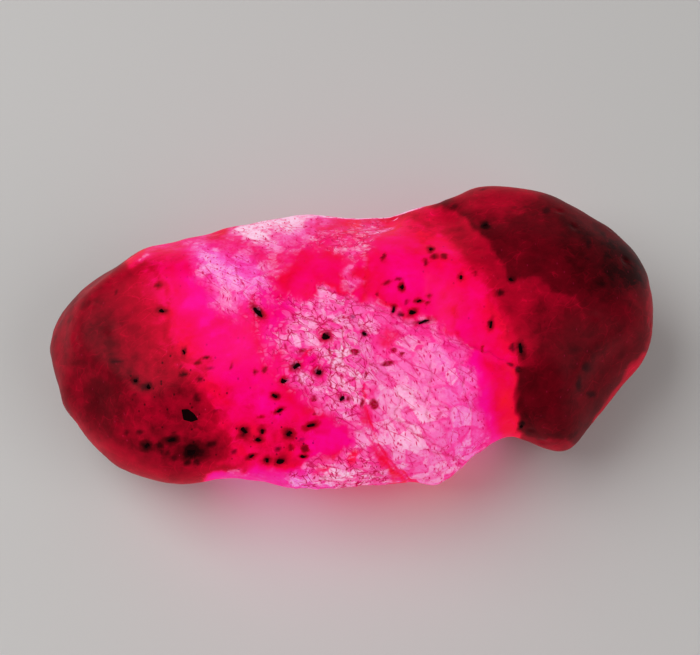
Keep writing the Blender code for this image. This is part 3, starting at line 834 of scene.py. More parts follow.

# the rim's painted light blazes white too
blaze = np.maximum(paint(frost_seen, 0.0, BLAZE_ZONES), top_rim)
blaze = near_and_far(blaze, BLAZE_BLOTCHES * blotches(skin_points, seed=4, length=6.0))
print("blaze zones:", len(BLAZE_ZONES))

# %% [markdown]
# ## The grains
#
# Black crystals of another mineral grew inside the ruby. Those that reach the skin are sharp, and
# are small angular stones of their own here. Those that lie deeper are seen through the ruby, so
# they are soft dark marks, and they stay colour. Each row says where a grain is seen, across and
# up, how long and wide it is, all in mm, and how many degrees it is turned.

# %% Where the grains are
SHARP_GRAINS = [
    (-15.9, 3.5, 0.33, 0.33, 0), (-15.6, 1.4, 0.58, 0.37, -10), (-13.8, -2.0, 0.58, 0.29, -80),
    (-11.9, -2.5, 0.66, 0.17, -12), (-12.6, -2.9, 0.42, 0.21, 15), (-13.8, -3.9, 0.42, 0.33, 0),
    (-17.8, -4.4, 0.42, 0.42, 0), (-16.7, -4.9, 0.42, 0.42, 0), (-16.9, -9.8, 0.58, 0.58, 0),
    (-15.8, -9.7, 0.37, 0.37, 0), (-14.8, -9.3, 0.75, 0.50, 20), (-13.2, -10.3, 0.83, 0.66, 45),
    (-13.5, -11.2, 0.33, 0.25, 0), (-8.8, -8.6, 0.75, 0.66, 90), (-7.3, -8.6, 0.58, 0.42, 90),
    (-7.6, -9.3, 0.58, 0.42, 15), (-8.2, -10.7, 0.58, 0.29, 20), (-6.9, -11.0, 0.50, 0.42, 90),
    (-5.8, -11.1, 0.75, 0.50, 25), (-5.1, -8.8, 0.66, 0.58, 0), (-3.2, -8.1, 0.83, 0.42, 20),
    (-3.9, -10.7, 0.50, 0.33, 10), (-5.9, -6.9, 0.75, 0.33, 20), (-6.2, -5.7, 0.58, 0.42, -30),
    (-5.5, -4.4, 0.58, 0.42, 30), (-4.5, -3.2, 0.75, 0.58, 0), (-2.6, -3.7, 0.66, 0.66, 0),
    (-2.0, -0.7, 0.75, 0.66, 30), (-7.9, -3.7, 0.42, 0.25, 90), (-7.1, -3.5, 0.33, 0.33, 0),
    (-9.8, -3.2, 0.42, 0.17, 90), (-0.7, -5.9, 0.50, 0.50, 0), (-1.7, -1.8, 0.25, 0.21, 90),
    (1.2, -0.5, 0.42, 0.42, 0), (-7.6, 1.3, 1.33, 0.50, -50), (0.2, 0.9, 0.25, 0.25, 0),
    (6.7, 6.5, 0.42, 0.42, 0), (7.0, 5.9, 0.42, 0.33, 20), (7.8, 5.9, 0.42, 0.25, -20),
    (6.3, 5.4, 0.50, 0.21, -75), (2.8, 5.9, 0.50, 0.25, 80), (9.2, 4.2, 0.46, 0.37, 90),
    (10.4, 4.4, 0.25, 0.21, 0), (3.1, 3.7, 0.50, 0.17, 10), (4.3, 3.4, 0.50, 0.37, 90),
    (4.0, 4.1, 0.33, 0.17, 0), (2.2, 2.8, 0.25, 0.25, 0), (6.6, 2.6, 0.25, 0.25, 0),
    (5.7, 2.2, 0.50, 0.33, 0), (6.4, 2.0, 0.33, 0.25, 0), (4.7, 2.1, 0.25, 0.25, 0),
    (3.6, 1.5, 0.58, 0.33, 80), (4.2, 1.1, 0.42, 0.33, 0), (5.2, 1.3, 0.66, 0.46, 25),
    (6.1, 0.5, 1.25, 0.33, 12), (11.7, 0.3, 0.75, 0.33, 80), (13.4, 4.0, 0.50, 0.33, -15),
    (12.5, 2.9, 0.42, 0.33, 0), (11.2, 8.5, 0.50, 0.33, -10), (14.2, -1.8, 1.00, 0.50, -82),
    (13.3, -3.1, 0.42, 0.17, -20), (14.0, -3.4, 0.33, 0.25, 0), (14.2, -8.2, 0.50, 0.33, 90),
]
DEEP_GRAINS = [
    (-19.4, -2.8, 1.16, 0.33, -12), (-19.4, 2.9, 0.33, 0.25, 0), (-11.7, -3.3, 0.66, 0.12, -10),
    (-14.2, -3.2, 0.33, 0.25, 0), (-12.5, -4.3, 0.50, 0.50, 0), (-17.9, -5.6, 0.33, 0.25, 0),
    (-17.1, -4.9, 0.75, 0.66, 0), (-12.7, -5.9, 0.75, 0.42, -45), (-18.6, -8.7, 0.42, 0.33, 0),
    (-17.4, -8.7, 0.50, 0.42, 0), (-15.7, -10.3, 0.42, 0.33, 0), (-15.1, -10.4, 0.42, 0.25, 0),
    (-14.6, -10.8, 0.58, 0.42, 0), (-12.7, -11.2, 0.42, 0.42, 0), (-12.4, -10.4, 0.50, 0.50, 0),
    (-11.5, -9.7, 0.83, 0.42, 20), (-11.2, -6.9, 0.42, 0.25, 0), (-4.0, -9.3, 0.25, 0.25, 0),
    (-6.0, -10.1, 0.50, 0.50, 0), (-9.6, -10.3, 0.42, 0.33, 0), (8.7, 10.1, 0.42, 0.25, -15),
    (11.1, 11.5, 0.50, 0.17, 10), (16.3, 9.7, 0.58, 0.50, 0), (13.5, -1.7, 0.75, 0.42, 90),
    (19.8, 6.9, 0.75, 0.29, 90), (19.7, 5.8, 0.25, 0.25, 0), (16.6, 0.1, 0.33, 0.25, 90),
    (19.6, -3.3, 0.66, 0.66, 0), (20.0, -5.5, 0.66, 0.50, 0), (19.0, -4.7, 1.16, 0.42, 90),
]
RED_GRAINS = [
    (-3.7, -10.1, 0.58, 0.50, 0), (-0.1, -5.9, 0.50, 0.33, -20), (1.0, -6.3, 0.75, 0.33, 90),
    (2.0, -6.4, 0.83, 0.66, 90), (3.1, -3.0, 1.08, 0.33, 5), (4.3, -2.2, 0.50, 0.33, 10),
    (3.7, -1.9, 0.50, 0.36, 0), (0.4, -2.0, 0.75, 0.42, 0), (1.3, -3.9, 0.66, 0.25, 90),
    (-3.0, -5.9, 0.42, 0.42, 0), (-3.0, -7.2, 0.50, 0.25, -10), (-4.0, -1.9, 0.66, 0.25, 10),
    (-7.4, -7.4, 0.42, 0.25, 0), (-4.9, -10.0, 0.33, 0.33, 0), (11.0, -1.8, 0.50, 0.25, 90),
]
WEDGE_GRAIN = (-13.3, -7.3, 1.38, 1.24, 0)
FAINT_SIZE = 0.165

faint_rows = [row for row in SHARP_GRAINS if row[2] * row[3] < FAINT_SIZE]
sharp_rows = [row for row in SHARP_GRAINS if row[2] * row[3] >= FAINT_SIZE]
print("sharp:", len(sharp_rows), "faint:", len(faint_rows))
print("deep:", len(DEEP_GRAINS), "red:", len(RED_GRAINS))

# %% [markdown]
# ## The grains' forms
#
# These grains are blocky: about six flats at right angles, with corners knocked off. A cube would
# be too regular. A ball is cut by ten flats instead, six of them near the directions of a cube's
# and four at random. Three such forms are enough, because each copy is stretched and turned. The
# largest grain is a clear wedge, and is raised from a flat with six corners.

# %% Model three blocky grains
BALL_RADIUS = 0.62 * MM
CUBE_FLATS = 6
ALL_FLATS = 10
FLAT_SKEW = 0.22
FLAT_DEPTHS = (0.32, 0.46)
FLATS_MERGE_BELOW = math.radians(5.0)


def model_grain(seed):
    """A blocky grain 1 mm long: a ball with six slightly skewed flats, and four more at random."""
    dice = np.random.default_rng(seed)
    deselect_all()
    bpy.ops.mesh.primitive_ico_sphere_add(subdivisions=2, radius=BALL_RADIUS)
    grain = bpy.context.object
    bpy.ops.object.mode_set(mode="EDIT")
    for flat in range(ALL_FLATS):
        away = dice.normal(size=3)
        if flat < CUBE_FLATS:
            side = 1.0 if flat < 3 else -1.0
            away = away * FLAT_SKEW + np.roll((1.0, 0.0, 0.0), flat) * side
        away /= np.linalg.norm(away)
        bpy.ops.mesh.select_all(action="SELECT")
        bpy.ops.mesh.bisect(plane_co=away * dice.uniform(*FLAT_DEPTHS) * MM, plane_no=away,
                            use_fill=True, clear_outer=True)
    bpy.ops.mesh.select_all(action="SELECT")
    bpy.ops.mesh.dissolve_limited(angle_limit=FLATS_MERGE_BELOW)
    bpy.ops.object.mode_set(mode="OBJECT")
    return grain


blocks = [model_grain(seed) for seed in (3, 8, 21)]
print("triangles in the blocky grains:", [count_triangles(block) for block in blocks])

# %% Model the wedge
WEDGE_CORNERS = [(-0.50, 0.50), (-0.41, -0.27), (0.06, -0.50), (0.50, -0.38), (0.27, 0.09), (-0.10, 0.50)]
WEDGE_FOOT = -0.5 * MM
WEDGE_RISE = 0.95 * MM
WEDGE_BEVEL = 0.05 * MM


def model_wedge():
    """The largest grain, 1 mm long and wide: a wedge with a blunt and a sharp end."""
    deselect_all()
    bpy.ops.mesh.primitive_circle_add(vertices=len(WEDGE_CORNERS), radius=0.5 * MM, fill_type="NGON")
    wedge = bpy.context.object
    for corner, (across, up) in zip(wedge.data.vertices, WEDGE_CORNERS):
        corner.co = (across * MM, up * MM, WEDGE_FOOT)
    bpy.ops.object.mode_set(mode="EDIT")
    bpy.ops.mesh.select_all(action="SELECT")
    bpy.ops.mesh.extrude_region_move(TRANSFORM_OT_translate={"value": (0.0, 0.0, WEDGE_RISE)})
    bpy.ops.mesh.select_all(action="SELECT")
    bpy.ops.mesh.normals_make_consistent(inside=False)
    bpy.ops.mesh.bevel(offset=WEDGE_BEVEL, segments=1)
    bpy.ops.object.mode_set(mode="OBJECT")
    return wedge


wedge = model_wedge()
print("triangles in the wedge:", count_triangles(wedge))

# %% [markdown]
# ## Setting the grains in the stone
#
# A river wears a grain down with the ruby round it, so its top lies nearly flush. Each copy is
# stretched to its grain's size, laid along the skin where the eye sees it, and sunk in. The ruby
# isn't cut out for them: the part below the skin can't be seen, and the grains are fixed in it.

# %% Set one grain
GRAIN_GROWTH = 0.94
GRAIN_HEIGHT = 0.40
GRAIN_SUNK = 0.13


def seen_on_skin(across, up):
    """The place on the stone that the eye sees there, and the skin's direction at it."""
    aim = LOOK_AT + (across * RIGHTWARD + up * UPWARD) * MM
    _, place, facing, _ = stone.ray_cast(EYE, (aim - EYE).normalized())
    return place, facing


def set_grain(name, form, row):
    """A copy of this form, laid in the skin where its row says."""
    across, up, long, wide, turn = row
    place, facing = seen_on_skin(across, up)
    angle = math.radians(turn)
    along = math.cos(angle) * RIGHTWARD + math.sin(angle) * UPWARD
    along = (along - along.dot(facing) * facing).normalized()
    turned = Matrix((along, facing.cross(along), facing)).transposed().to_4x4()
    size = Matrix.Diagonal((GRAIN_GROWTH * long, GRAIN_GROWTH * wide, GRAIN_HEIGHT, 1.0))
    sunk = Matrix.Translation(place - facing * GRAIN_SUNK * MM)
    grain = bpy.data.objects.new(name, form.data.copy())
    bpy.context.scene.collection.objects.link(grain)
    grain.data.transform(sunk @ turned @ size)
    return grain


grains = [set_grain("grain_0", wedge, WEDGE_GRAIN)]
print("the wedge's size as it is set, mm:", [round(1000 * side, 2) for side in grains[0].dimensions])

# %% Set the others, and join them into one piece
for index, row in enumerate(sharp_rows, start=1):
    grains.append(set_grain(f"grain_{index}", blocks[index % len(blocks)], row))
for form in blocks + [wedge]:
    bpy.data.objects.remove(form)
deselect_all()
for grain in grains:
    grain.select_set(True)
bpy.context.view_layer.objects.active = grains[0]
bpy.ops.object.join()
dark_grains = bpy.context.object
dark_grains.name = "dark_grains"
print("grains set:", len(grains), "with", count_triangles(dark_grains), "triangles")

# %% [markdown]
# ## The grains' dark marks, and the painted shade round them
#
# Deep grains show as soft dark marks: their own black, seen through the ruby, with painted shadow round it.
# Round a sharp grain the ruby is painted darker and redder, a ring of painted shade, because the grain takes
# light from it. A lamp inside the stone could cast these shadows. Soft ovals, measured from each grain's row,
# give the same and cost nothing.

# %% Painted shadows, and red rings of painted shade round the grains
FAINTEST_MARK = 0.55
MARK_PER_AREA = 2.6
DEEP_GRAIN_DARK_AND_SHADE = 0.80
SHARP_GRAIN_SHADE = 0.85
SHADE_RING = 0.7


def marks(places, rows, grow, soft):
    """How strongly each place is marked by these grains, grown by so much and with soft edges."""
    strength = np.zeros(len(places))
    for across, up, long, wide, turn in rows:
        angle = math.radians(turn)
        gone = places - np.array((across, up))
        along = gone @ np.array((math.cos(angle), math.sin(angle))) / (0.5 * long * grow)
        beside = gone @ np.array((-math.sin(angle), math.cos(angle))) / (0.5 * wide * grow)
        depth = min(1.0, FAINTEST_MARK + MARK_PER_AREA * long * wide)
        mark = smooth_step((1.0 + soft - np.hypot(along, beside)) / (2.0 * soft))
        strength = np.maximum(strength, depth * mark)
    return strength


grains_seen = wandered(drawn(points_of(stone)), seed=14, amount=0.05, length=0.9)
# painted shade: the deep grains' own black seen through the ruby, with their shadow painted round it, and a
# dark rim of painted shade round each sharp grain
deep_grain_dark_and_shade = DEEP_GRAIN_DARK_AND_SHADE * marks(grains_seen, DEEP_GRAINS + faint_rows, grow=1.1, soft=0.45)
sharp_grain_shade = SHARP_GRAIN_SHADE * marks(grains_seen, sharp_rows, grow=0.9, soft=0.4)
soot = np.maximum(deep_grain_dark_and_shade, sharp_grain_shade) * shown
# dark red marks of the red grains, and rings of painted shade round the sharp grains, where they take light
# from the ruby
red_marks = marks(grains_seen, RED_GRAINS, grow=1.2, soft=0.4)
shade_rings = SHADE_RING * marks(grains_seen, SHARP_GRAINS, grow=1.7, soft=0.5)
stain = np.maximum(red_marks, shade_rings) * shown
print("skin under a dark mark:", f"{np.mean(soot > 0.5):.1%}", "or a red one:", f"{np.mean(stain > 0.5):.1%}")

# %% [markdown]
# ## Lines where the cracks run
#
# The grooves are too shallow to hold a shadow, but an open crack stops the light that comes up
# from below, so it shows as a dark red line. The distances that pressed the grooves in give these
# lines as well, each with a reach of its own, so that line and groove always lie together.

# %% Lines of the cracks, the seam and the veils
LINE_REACH = 0.12
VEIL_REACH = 0.38
SEAM_LINE_REACH = 0.19
SEAM_FOOT_REACH = 0.30

line = nearness(crack_distance, LINE_REACH) * shown
veil_line = nearness(nearest_row(line_seen, VEIL_ROWS.values()), VEIL_REACH) * shown
seam_foot = nearness(row_distance(line_seen, SEAM_FOOT), SEAM_FOOT_REACH)
seam = np.maximum(nearness(seam_distance, SEAM_LINE_REACH), seam_foot) * shown
print("points on a line:", int(np.sum(line > 0.5)), "on the seam:", int(np.sum(seam > 0.5)))

# %% [markdown]
# ## What the material reads
#
# Two more zones are for the material's own small patterns. Where the bed is full of grains, the
# ruby is peppered with specks too small to place one by one. Where it is crazed, its cracks run
# as a net, and elsewhere they are only broken lines. All values are then kept on the mesh, one
# number per point, and a material reads each by its name.

# %% Grainy and crazed parts
GRAINY_START = 0.25
CRAZED_START = 0.2
CRAZED_EDGE = 1.2
GRAINY_ZONES = [
    ("bed", 1.0, 3.0, [
        (-19.0, -2.0), (-14.0, -1.0), (-9.5, -4.5), (-2.5, -8.0), (-3.0, -11.0), (-9.0, -11.5),
        (-16.0, -11.5), (-19.5, -8.5)]),
    ("right", 0.35, 3.0, [(3.0, 8.0), (8.0, 9.0), (15.0, 4.5), (19.0, 0.0), (15.0, -2.5), (6.0, 0.0)]),
]
CRAZED_SKIN = ("top_centre", "left_cells", "mid_cells", "bench", "bevel")
CRAZED_ZONES = [(name, 1.0, CRAZED_EDGE, loop) for name, _, _, loop in FROST_ZONES if name in CRAZED_SKIN]
print("grainy zones:", len(GRAINY_ZONES), "crazed zones:", len(CRAZED_ZONES))

# %% Keep the values on the mesh
VEIL_SHADE = 0.08
VEIL_REDNESS = 0.3
SEAM_REDNESS = 0.2
SEAM_CLEARS = 0.75
GAP_REACH = 0.5

skin_values = {
    "light": light - VEIL_SHADE * veil_line,
    "tint": tint - VEIL_REDNESS * veil_line - SEAM_REDNESS * seam,
    "frost": frost * (1.0 - SEAM_CLEARS * seam),
    "blaze": blaze,
    "soot": soot,
    "stain": stain,
    "grainy": paint(grains_seen, GRAINY_START, GRAINY_ZONES),
    "crazed": paint(frost_seen, CRAZED_START, CRAZED_ZONES),
    "line": line,
    "tone": 0.5 + (chip_tone - 0.5) * (0.6 + 0.4 * broken),
    "gap": np.clip(1.0 - chip_border / GAP_REACH, 0.0, 1.0) * (0.8 + 0.2 * broken),
}
for name, values in skin_values.items():
    layer = stone.data.attributes.new(name, "FLOAT", "POINT")
    layer.data.foreach_set("value", values.astype(np.float32))
print("kept on the mesh:", ", ".join(skin_values))

# %% [markdown]
# ## Writing a material as sums
#
# A node tree can be wired by hand, but one with a hundred nodes is hard to read. An expression is
# easier. The class below wraps one socket, and adds a Math node for each operator that is used on
# it. Any other node comes from one method, which takes its kind, its settings and its inputs.

# %% The socket class


class Value:
    """A number, a colour or a vector that flows through a node tree."""

    def __init__(self, tree, socket):
        self.tree = tree
        self.socket = socket

    def node(self, kind, settings=None, **inputs):
        """Adds a node, gives it its settings, and then links or sets its inputs: i0 is the first."""
        made = self.tree.nodes.new(kind)
        for setting, value in (settings or {}).items():
            setattr(made, setting, value)
        for name, value in inputs.items():
            socket = made.inputs[int(name[1:]) if name[1:].isdigit() else name.replace("_", " ")]
            if isinstance(value, Value):
                self.tree.links.new(value.socket, socket)
            else:
                socket.default_value = value
        return made

    def out(self, kind, settings=None, output=0, **inputs):
        return Value(self.tree, self.node(kind, settings, **inputs).outputs[output])

    def math(self, operation, first, second):
        return self.out("ShaderNodeMath", {"operation": operation}, i0=first, i1=second)

    def __add__(self, other):
        return self.math("ADD", self, other)

    def __sub__(self, other):
        return self.math("SUBTRACT", self, other)

    def __mul__(self, other):
        return self.math("MULTIPLY", self, other)

    def __rsub__(self, other):
        return self.math("SUBTRACT", other, self)

    __radd__ = __add__
    __rmul__ = __mul__

    def clamped(self):
        return self.out("ShaderNodeClamp", Value=self)

    def step(self, low, high, to_low=0.0, to_high=1.0):
        """Rises smoothly from to_low to to_high while this value goes from low to high."""
        return self.out("ShaderNodeMapRange", {"interpolation_type": "SMOOTHSTEP"}, Value=self,
                        From_Min=low, From_Max=high, To_Min=to_low, To_Max=to_high)

    def fading(self, low, high):
        """Falls smoothly from 1 to 0 while this value goes from low to high."""
        return 1.0 - self.step(low, high)

    def swing(self, amount):
        """Swings a value that goes from 0 to 1 about zero, by this amount from end to end."""
        return (self - 0.5) * amount

    def mix(self, first, second):
        """Goes from the first colour to the second as this value goes from 0 to 1."""
        return self.out("ShaderNodeMix", {"data_type": "RGBA"}, output=2, Factor=self, i6=first, i7=second)

    def part(self, index):
        """One number of a vector or colour."""
        return self.out("ShaderNodeSeparateXYZ", Vector=self, output=index)


print("what a value can do:", ", ".join(name for name in vars(Value) if not name.startswith("_")))

# %% Places that patterns are laid on


class Place(Value):
    """Coordinates in mm, on which attributes are read and patterns are laid."""

    def scaled(self, scale, turn=(0.0, 0.0, 0.0)):
        """Squeezes a pattern so that this many units lie in a mm along each axis, and turns it."""
        made = self.node("ShaderNodeMapping", Vector=self, Scale=scale, Rotation=turn)
        return Place(self.tree, made.outputs[0])

    def turned(self, turn):
        return self.scaled((1.0, 1.0, 1.0), turn)

    def warped(self, scale):
        """Moves places about by a soft noise."""
        shove = self.noise(scale, detail=1.0, output=1)
        made = self.node("ShaderNodeVectorMath", {"operation": "ADD"}, i0=self, i1=shove)
        return Place(self.tree, made.outputs[0])

    def attribute(self, name):
        return self.out("ShaderNodeAttribute", {"attribute_name": name}, output=2)

    def noise(self, scale, detail=2.0, roughness=0.5, output=0):
        return self.out("ShaderNodeTexNoise", Vector=self, Scale=scale, Detail=detail, Roughness=roughness,
                        output=output)

    def cells(self, scale=1.0, output="Distance", feature="F1"):
        """Random cells, so many to a unit: by default, the distance to the middle of the nearest."""
        return self.out("ShaderNodeTexVoronoi", {"feature": feature}, output=output, Vector=self, Scale=scale)

    def border(self):
        """The distance to the nearest border between two cells."""
        return self.cells(feature="DISTANCE_TO_EDGE")

    def cell_tone(self, index=0):
        """A random number from 0 to 1 for each cell. It has three such numbers."""
        return self.cells(output="Color").part(index)


print("what a place can do as well:", ", ".join(name for name in vars(Place) if not name.startswith("_")))

# %% Colours and new materials
GLOSS = 0.03


def srgb(red, green, blue):
    """A colour as it is seen on a screen, 0 to 255, in the linear numbers that a shader takes."""
    shares = [level / 255.0 for level in (red, green, blue)]
    return tuple(s / 12.92 if s <= 0.04045 else ((s + 0.055) / 1.055) ** 2.4 for s in shares) + (1.0,)


def ramp(value, stops):
    """A colour ramp: stops are pairs of a place from 0 to 1 and a colour."""
    made = value.node("ShaderNodeValToRGB", Fac=value)
    elements = made.color_ramp.elements
    while len(elements) < len(stops):
        elements.new(0.5)
    for element, (place, colour) in zip(elements, stops):
        element.position = place
        element.color = colour
    return Value(value.tree, made.outputs["Color"])


def new_material(name):
    """A material with its shader, which has hardly any gloss, and Object coordinates in mm."""
    material = bpy.data.materials.new(name)
    material.use_nodes = True
    tree = material.node_tree
    shader = tree.nodes["Principled BSDF"]
    shader.inputs["Specular IOR Level"].default_value = GLOSS
    start = Place(tree, tree.nodes.new("ShaderNodeTexCoord").outputs["Object"])
    return material, shader, start.scaled((1 / MM, 1 / MM, 1 / MM))


def connect(value, shader, name):
    value.tree.links.new(value.socket, shader.inputs[name])


print("middle grey, as a shader takes it:", round(srgb(128, 128, 128)[0], 3))

# %% [markdown]
# ## The ruby itself
#
# A lit ruby is seen by the light that comes out of it, and not only by the light that falls on it.
# A clear glass with a lamp below it would need the real stone's inside. The material therefore paints the
# light from below into its colour, and gives that colour twice: as its base colour, for the studio's light,
# and as an emission, a painted glow, for the light from below. The colour is built up in layers, as a painter
# would: first the glow of the clear stone, then its frost, its cracks, and its specks. Each cell below makes
# one layer.

# %% The colours of a ruby lit from below, with that light painted in
GARNET = srgb(34, 0, 2)
CLARET = srgb(100, 0, 15)
CRIMSON = srgb(178, 0, 36)
HOT_RED = srgb(236, 0, 58)
HOT_PINK = srgb(250, 0, 80)
WARM_MAGENTA = srgb(252, 0, 104)
MAGENTA = srgb(250, 0, 122)
VIOLET = srgb(250, 12, 166)
ORANGE = srgb(250, 16, 44)
FROST_PINK = srgb(250, 112, 186)
FROST_WHITE = srgb(254, 204, 232)
FROST_ROSE = srgb(250, 62, 160)
FROST_LAVENDER = srgb(250, 104, 206)
CRACK = srgb(224, 0, 104)
DEEP_CRACK = srgb(196, 0, 70)
# the dark of the grains, which also paints the shade round them
DARK_GRAIN_AND_SHADE = srgb(34, 0, 4)
# a painted glint, where a crack catches the light
PAINTED_GLINT = srgb(240, 40, 100)
print("a claret lobe, in linear numbers:", [round(level, 3) for level in CLARET])

# %% What all the layers share
CELL_LEAN = (0.0, 0.0, 0.61)
LAVENDER_FROM = 0.9


class Skin:
    """The values that were kept on the mesh, and the patterns that more than one layer uses."""

    def __init__(self, place):
        for name in skin_values:
            setattr(self, name, place.attribute(name))
        self.place = place
        self.warped = place.warped(0.7)
        self.leaned = self.warped.turned(CELL_LEAN)
        self.mottle = place.noise(0.85, detail=6.0, roughness=0.62)
        self.curds = place.noise(1.3, detail=3.0, roughness=0.6)
        self.crumbs = self.leaned.scaled((1.7, 2.6, 2.0)).cell_tone()
        self.lavender = ((self.tint - LAVENDER_FROM) * 2.0).clamped()
        self.rose = self.lavender.mix(FROST_PINK, FROST_LAVENDER)


ruby, ruby_shader, ruby_place = new_material("ruby")
skin = Skin(ruby_place)
print("nodes that the layers share:", len(ruby.node_tree.nodes))

# %% [markdown]
# ## The glow of the clear stone
#
# Clear ruby isn't even. Light and dark drift through it in clouds, flakes of slightly different
# clearness meet along borders, and thin bright threads run where they part. One noise would make
# it look like marble. Several weak patterns of different sizes are added to the drawn light
# instead, and a ramp turns the sum into ruby's colours. The tint then leans those.

# %% The glow
CLOUD_SWING = 0.10
MOTTLE_SWING = 0.22
MOTTLE_IN_GRAINS = 0.36
VEIL_SWING = 0.045
FLAKE_SWING = 0.05
THREAD_LIGHT = 0.09
RED_MARK_AND_SHADE_DARKENING = 0.40
TINT_SWING = 2.0
VIOLET_FROM = 0.9


def light_in_stone(skin):
    """The drawn light, with clouds, flakes and threads in it, and painted shade round the grains."""
    cloud = skin.place.noise(0.35, detail=2.0)
    veil = skin.warped.scaled((0.34, 0.46, 0.3), (0.5, 0.2, 0.7)).cell_tone()
    flake = skin.warped.scaled((0.9, 1.2, 1.0)).cell_tone()
    thread = skin.warped.turned((0.0, 0.3, -0.7)).scaled((0.5, 1.5, 0.9)).border().fading(0.0, 0.045)
    threaded = skin.place.noise(0.7, detail=2.0).step(0.42, 0.62)
    mottled = skin.mottle.swing(skin.grainy * MOTTLE_IN_GRAINS + MOTTLE_SWING)
    light = skin.light + cloud.swing(CLOUD_SWING) + mottled
    light = light + veil.swing(VEIL_SWING) + flake.swing(FLAKE_SWING)
    return light + thread * threaded * THREAD_LIGHT - skin.stain * RED_MARK_AND_SHADE_DARKENING


def glow_colour(skin):
    """The colour of that light, leaning to orange, magenta or violet where it is bright."""
    light = light_in_stone(skin)
    glow = ramp(light.clamped(), [(0.0, GARNET), (0.25, CLARET), (0.52, CRIMSON), (0.74, HOT_RED),
                                  (0.90, HOT_PINK), (1.0, WARM_MAGENTA)])
    leaning = skin.tint + skin.place.noise(0.6, detail=4.0).swing(TINT_SWING)
    bright = light.step(0.55, 0.85)
    glow = (leaning.clamped() * bright).mix(glow, MAGENTA)
    glow = ((0.0 - leaning).clamped() * light.step(0.5, 0.8)).mix(glow, ORANGE)
    return ((leaning - VIOLET_FROM) * bright).clamped().mix(glow, VIOLET)


glow = glow_colour(skin)
print("nodes with the glow:", len(ruby.node_tree.nodes))

# %% [markdown]
# ## The frost
#
# Seen closely, a frosted patch is a crowd of tiny bright blocks with clear ruby between them, and it thins
# out at its edge into single crumbs. A plain fade would look like breath on glass. So the drawn frost is only
# a level: chips, crumbs, curds and grit are added to it, and where the sum is high the ruby is frosted. A
# soft rose haze of thin frost and painted light lies round each patch, and where the skin is crazed, small
# pale cells show too, with a net of clear ruby between them.

# %% How frosted each place is
FROST_GAIN = 1.2
CHIP_SWING = 0.6
CRUMB_SWING = 0.2
CURD_SWING = 0.4
CRAZED_SWING = 0.25
GRIT_SWING = 0.6
GAP_DEPTH = 0.45
GAP_CURDS = 1.2
GLOW_HAZE_MOTTLE = 0.9
GLOW_HAZE_CHIPS = 0.3
GLOW_HAZE_STRENGTH = 0.7
CRAZE_STRENGTH = 0.48


def frost_amount(skin):
    """Frost that breaks up into chips, crumbs and grit towards its edge."""
    grit = skin.place.noise(4.0, detail=5.0, roughness=0.7)
    gaps = (skin.gap + skin.curds.swing(GAP_CURDS)).step(0.50, 0.85)
    ragged = skin.frost * FROST_GAIN + skin.tone.swing(CHIP_SWING)
    ragged = ragged + skin.crumbs.swing(skin.crazed * CRAZED_SWING + CRUMB_SWING)
    ragged = ragged + skin.curds.swing(skin.crazed * CRAZED_SWING + CURD_SWING)
    ragged = ragged + grit.swing(GRIT_SWING) - gaps * GAP_DEPTH
    # no frost under the red grain marks and the painted shade round the grains
    return ragged.step(0.22, 1.12) * skin.frost.step(0.03, 0.2) * (1.0 - skin.stain)


def glow_haze_amount(skin):
    """The soft rose glow of thin frost and painted light, in and round the frosted patches."""
    glow_haze = skin.frost * FROST_GAIN + skin.mottle.swing(GLOW_HAZE_MOTTLE) + skin.tone.swing(GLOW_HAZE_CHIPS)
    return glow_haze.step(0.0, 0.9) * (1.0 - skin.stain) * GLOW_HAZE_STRENGTH * skin.frost.step(0.0, 0.2)


def craze_amount(skin):
    """The pale cells of crazed skin, about two to the millimetre."""
    cells = skin.warped.scaled((2.3, 2.3, 2.3), (0.1, 0.2, 0.3))
    craze = cells.border().step(0.04, 0.24) * cells.cell_tone(1).step(0.35, 0.75)
    return craze * skin.crazed * skin.frost.step(0.04, 0.2) * CRAZE_STRENGTH


frosted = frost_amount(skin)
glow_haze = glow_haze_amount(skin)
craze = craze_amount(skin)
print("nodes with the frost:", len(ruby.node_tree.nodes))

# %% How the frost shines
SHINE_CHIPS = 0.7
SHINE_CRUMBS = 0.2
SHINE_CRUMBS_CRAZED = 0.3
SHINE_SPARKLE = 0.8
SHINE_SPARKLE_CRAZED = 0.6


def frost_colour(skin):
    """Pink or lavender frost, whiter where it blazes and deeper rose where it is dim."""
    sparkle = skin.place.noise(2.6, detail=5.0, roughness=0.7)
    shine = skin.blaze + skin.tone.swing(SHINE_CHIPS)
    shine = shine + skin.crumbs.swing(skin.crazed * SHINE_CRUMBS_CRAZED + SHINE_CRUMBS)
    shine = shine + sparkle.swing(skin.crazed * SHINE_SPARKLE_CRAZED + SHINE_SPARKLE)
    pale = shine.clamped().mix(skin.rose, FROST_WHITE)
    return (0.0 - shine).clamped().mix(pale, FROST_ROSE)


frost_shine = frost_colour(skin)
print("nodes with its shine:", len(ruby.node_tree.nodes))

# %% [markdown]
# ## Fine cracks, scratches and hairs
#
# Frosted ruby is crossed by thin red lines where the cracks are open: broken borders of slabs,
# short dashes, long straight partings and round specks. The lines that can be followed were drawn
# as rows. The rest are too many to draw, so they are borders of random cells that are stretched
# along the stone's grain, and noise keeps only some stretches of each.

# %% Cracks, dashes and partings
CRACK_REST = 0.25
CRACK_CRAZED = 0.75
CRACK_WIDENS = 0.015
PARTING_STRENGTH = 0.7


def slab_cracks(skin):
    """Broken borders of slabs, which are a little wider where the skin is crazed."""
    edge = skin.leaned.scaled((0.8, 1.5, 1.1)).border() - skin.crazed * CRACK_WIDENS
    crack = edge.fading(0.006, 0.04) * skin.place.noise(0.9, detail=2.0).step(0.42, 0.58)
    return crack * (skin.crazed * CRACK_CRAZED + CRACK_REST)


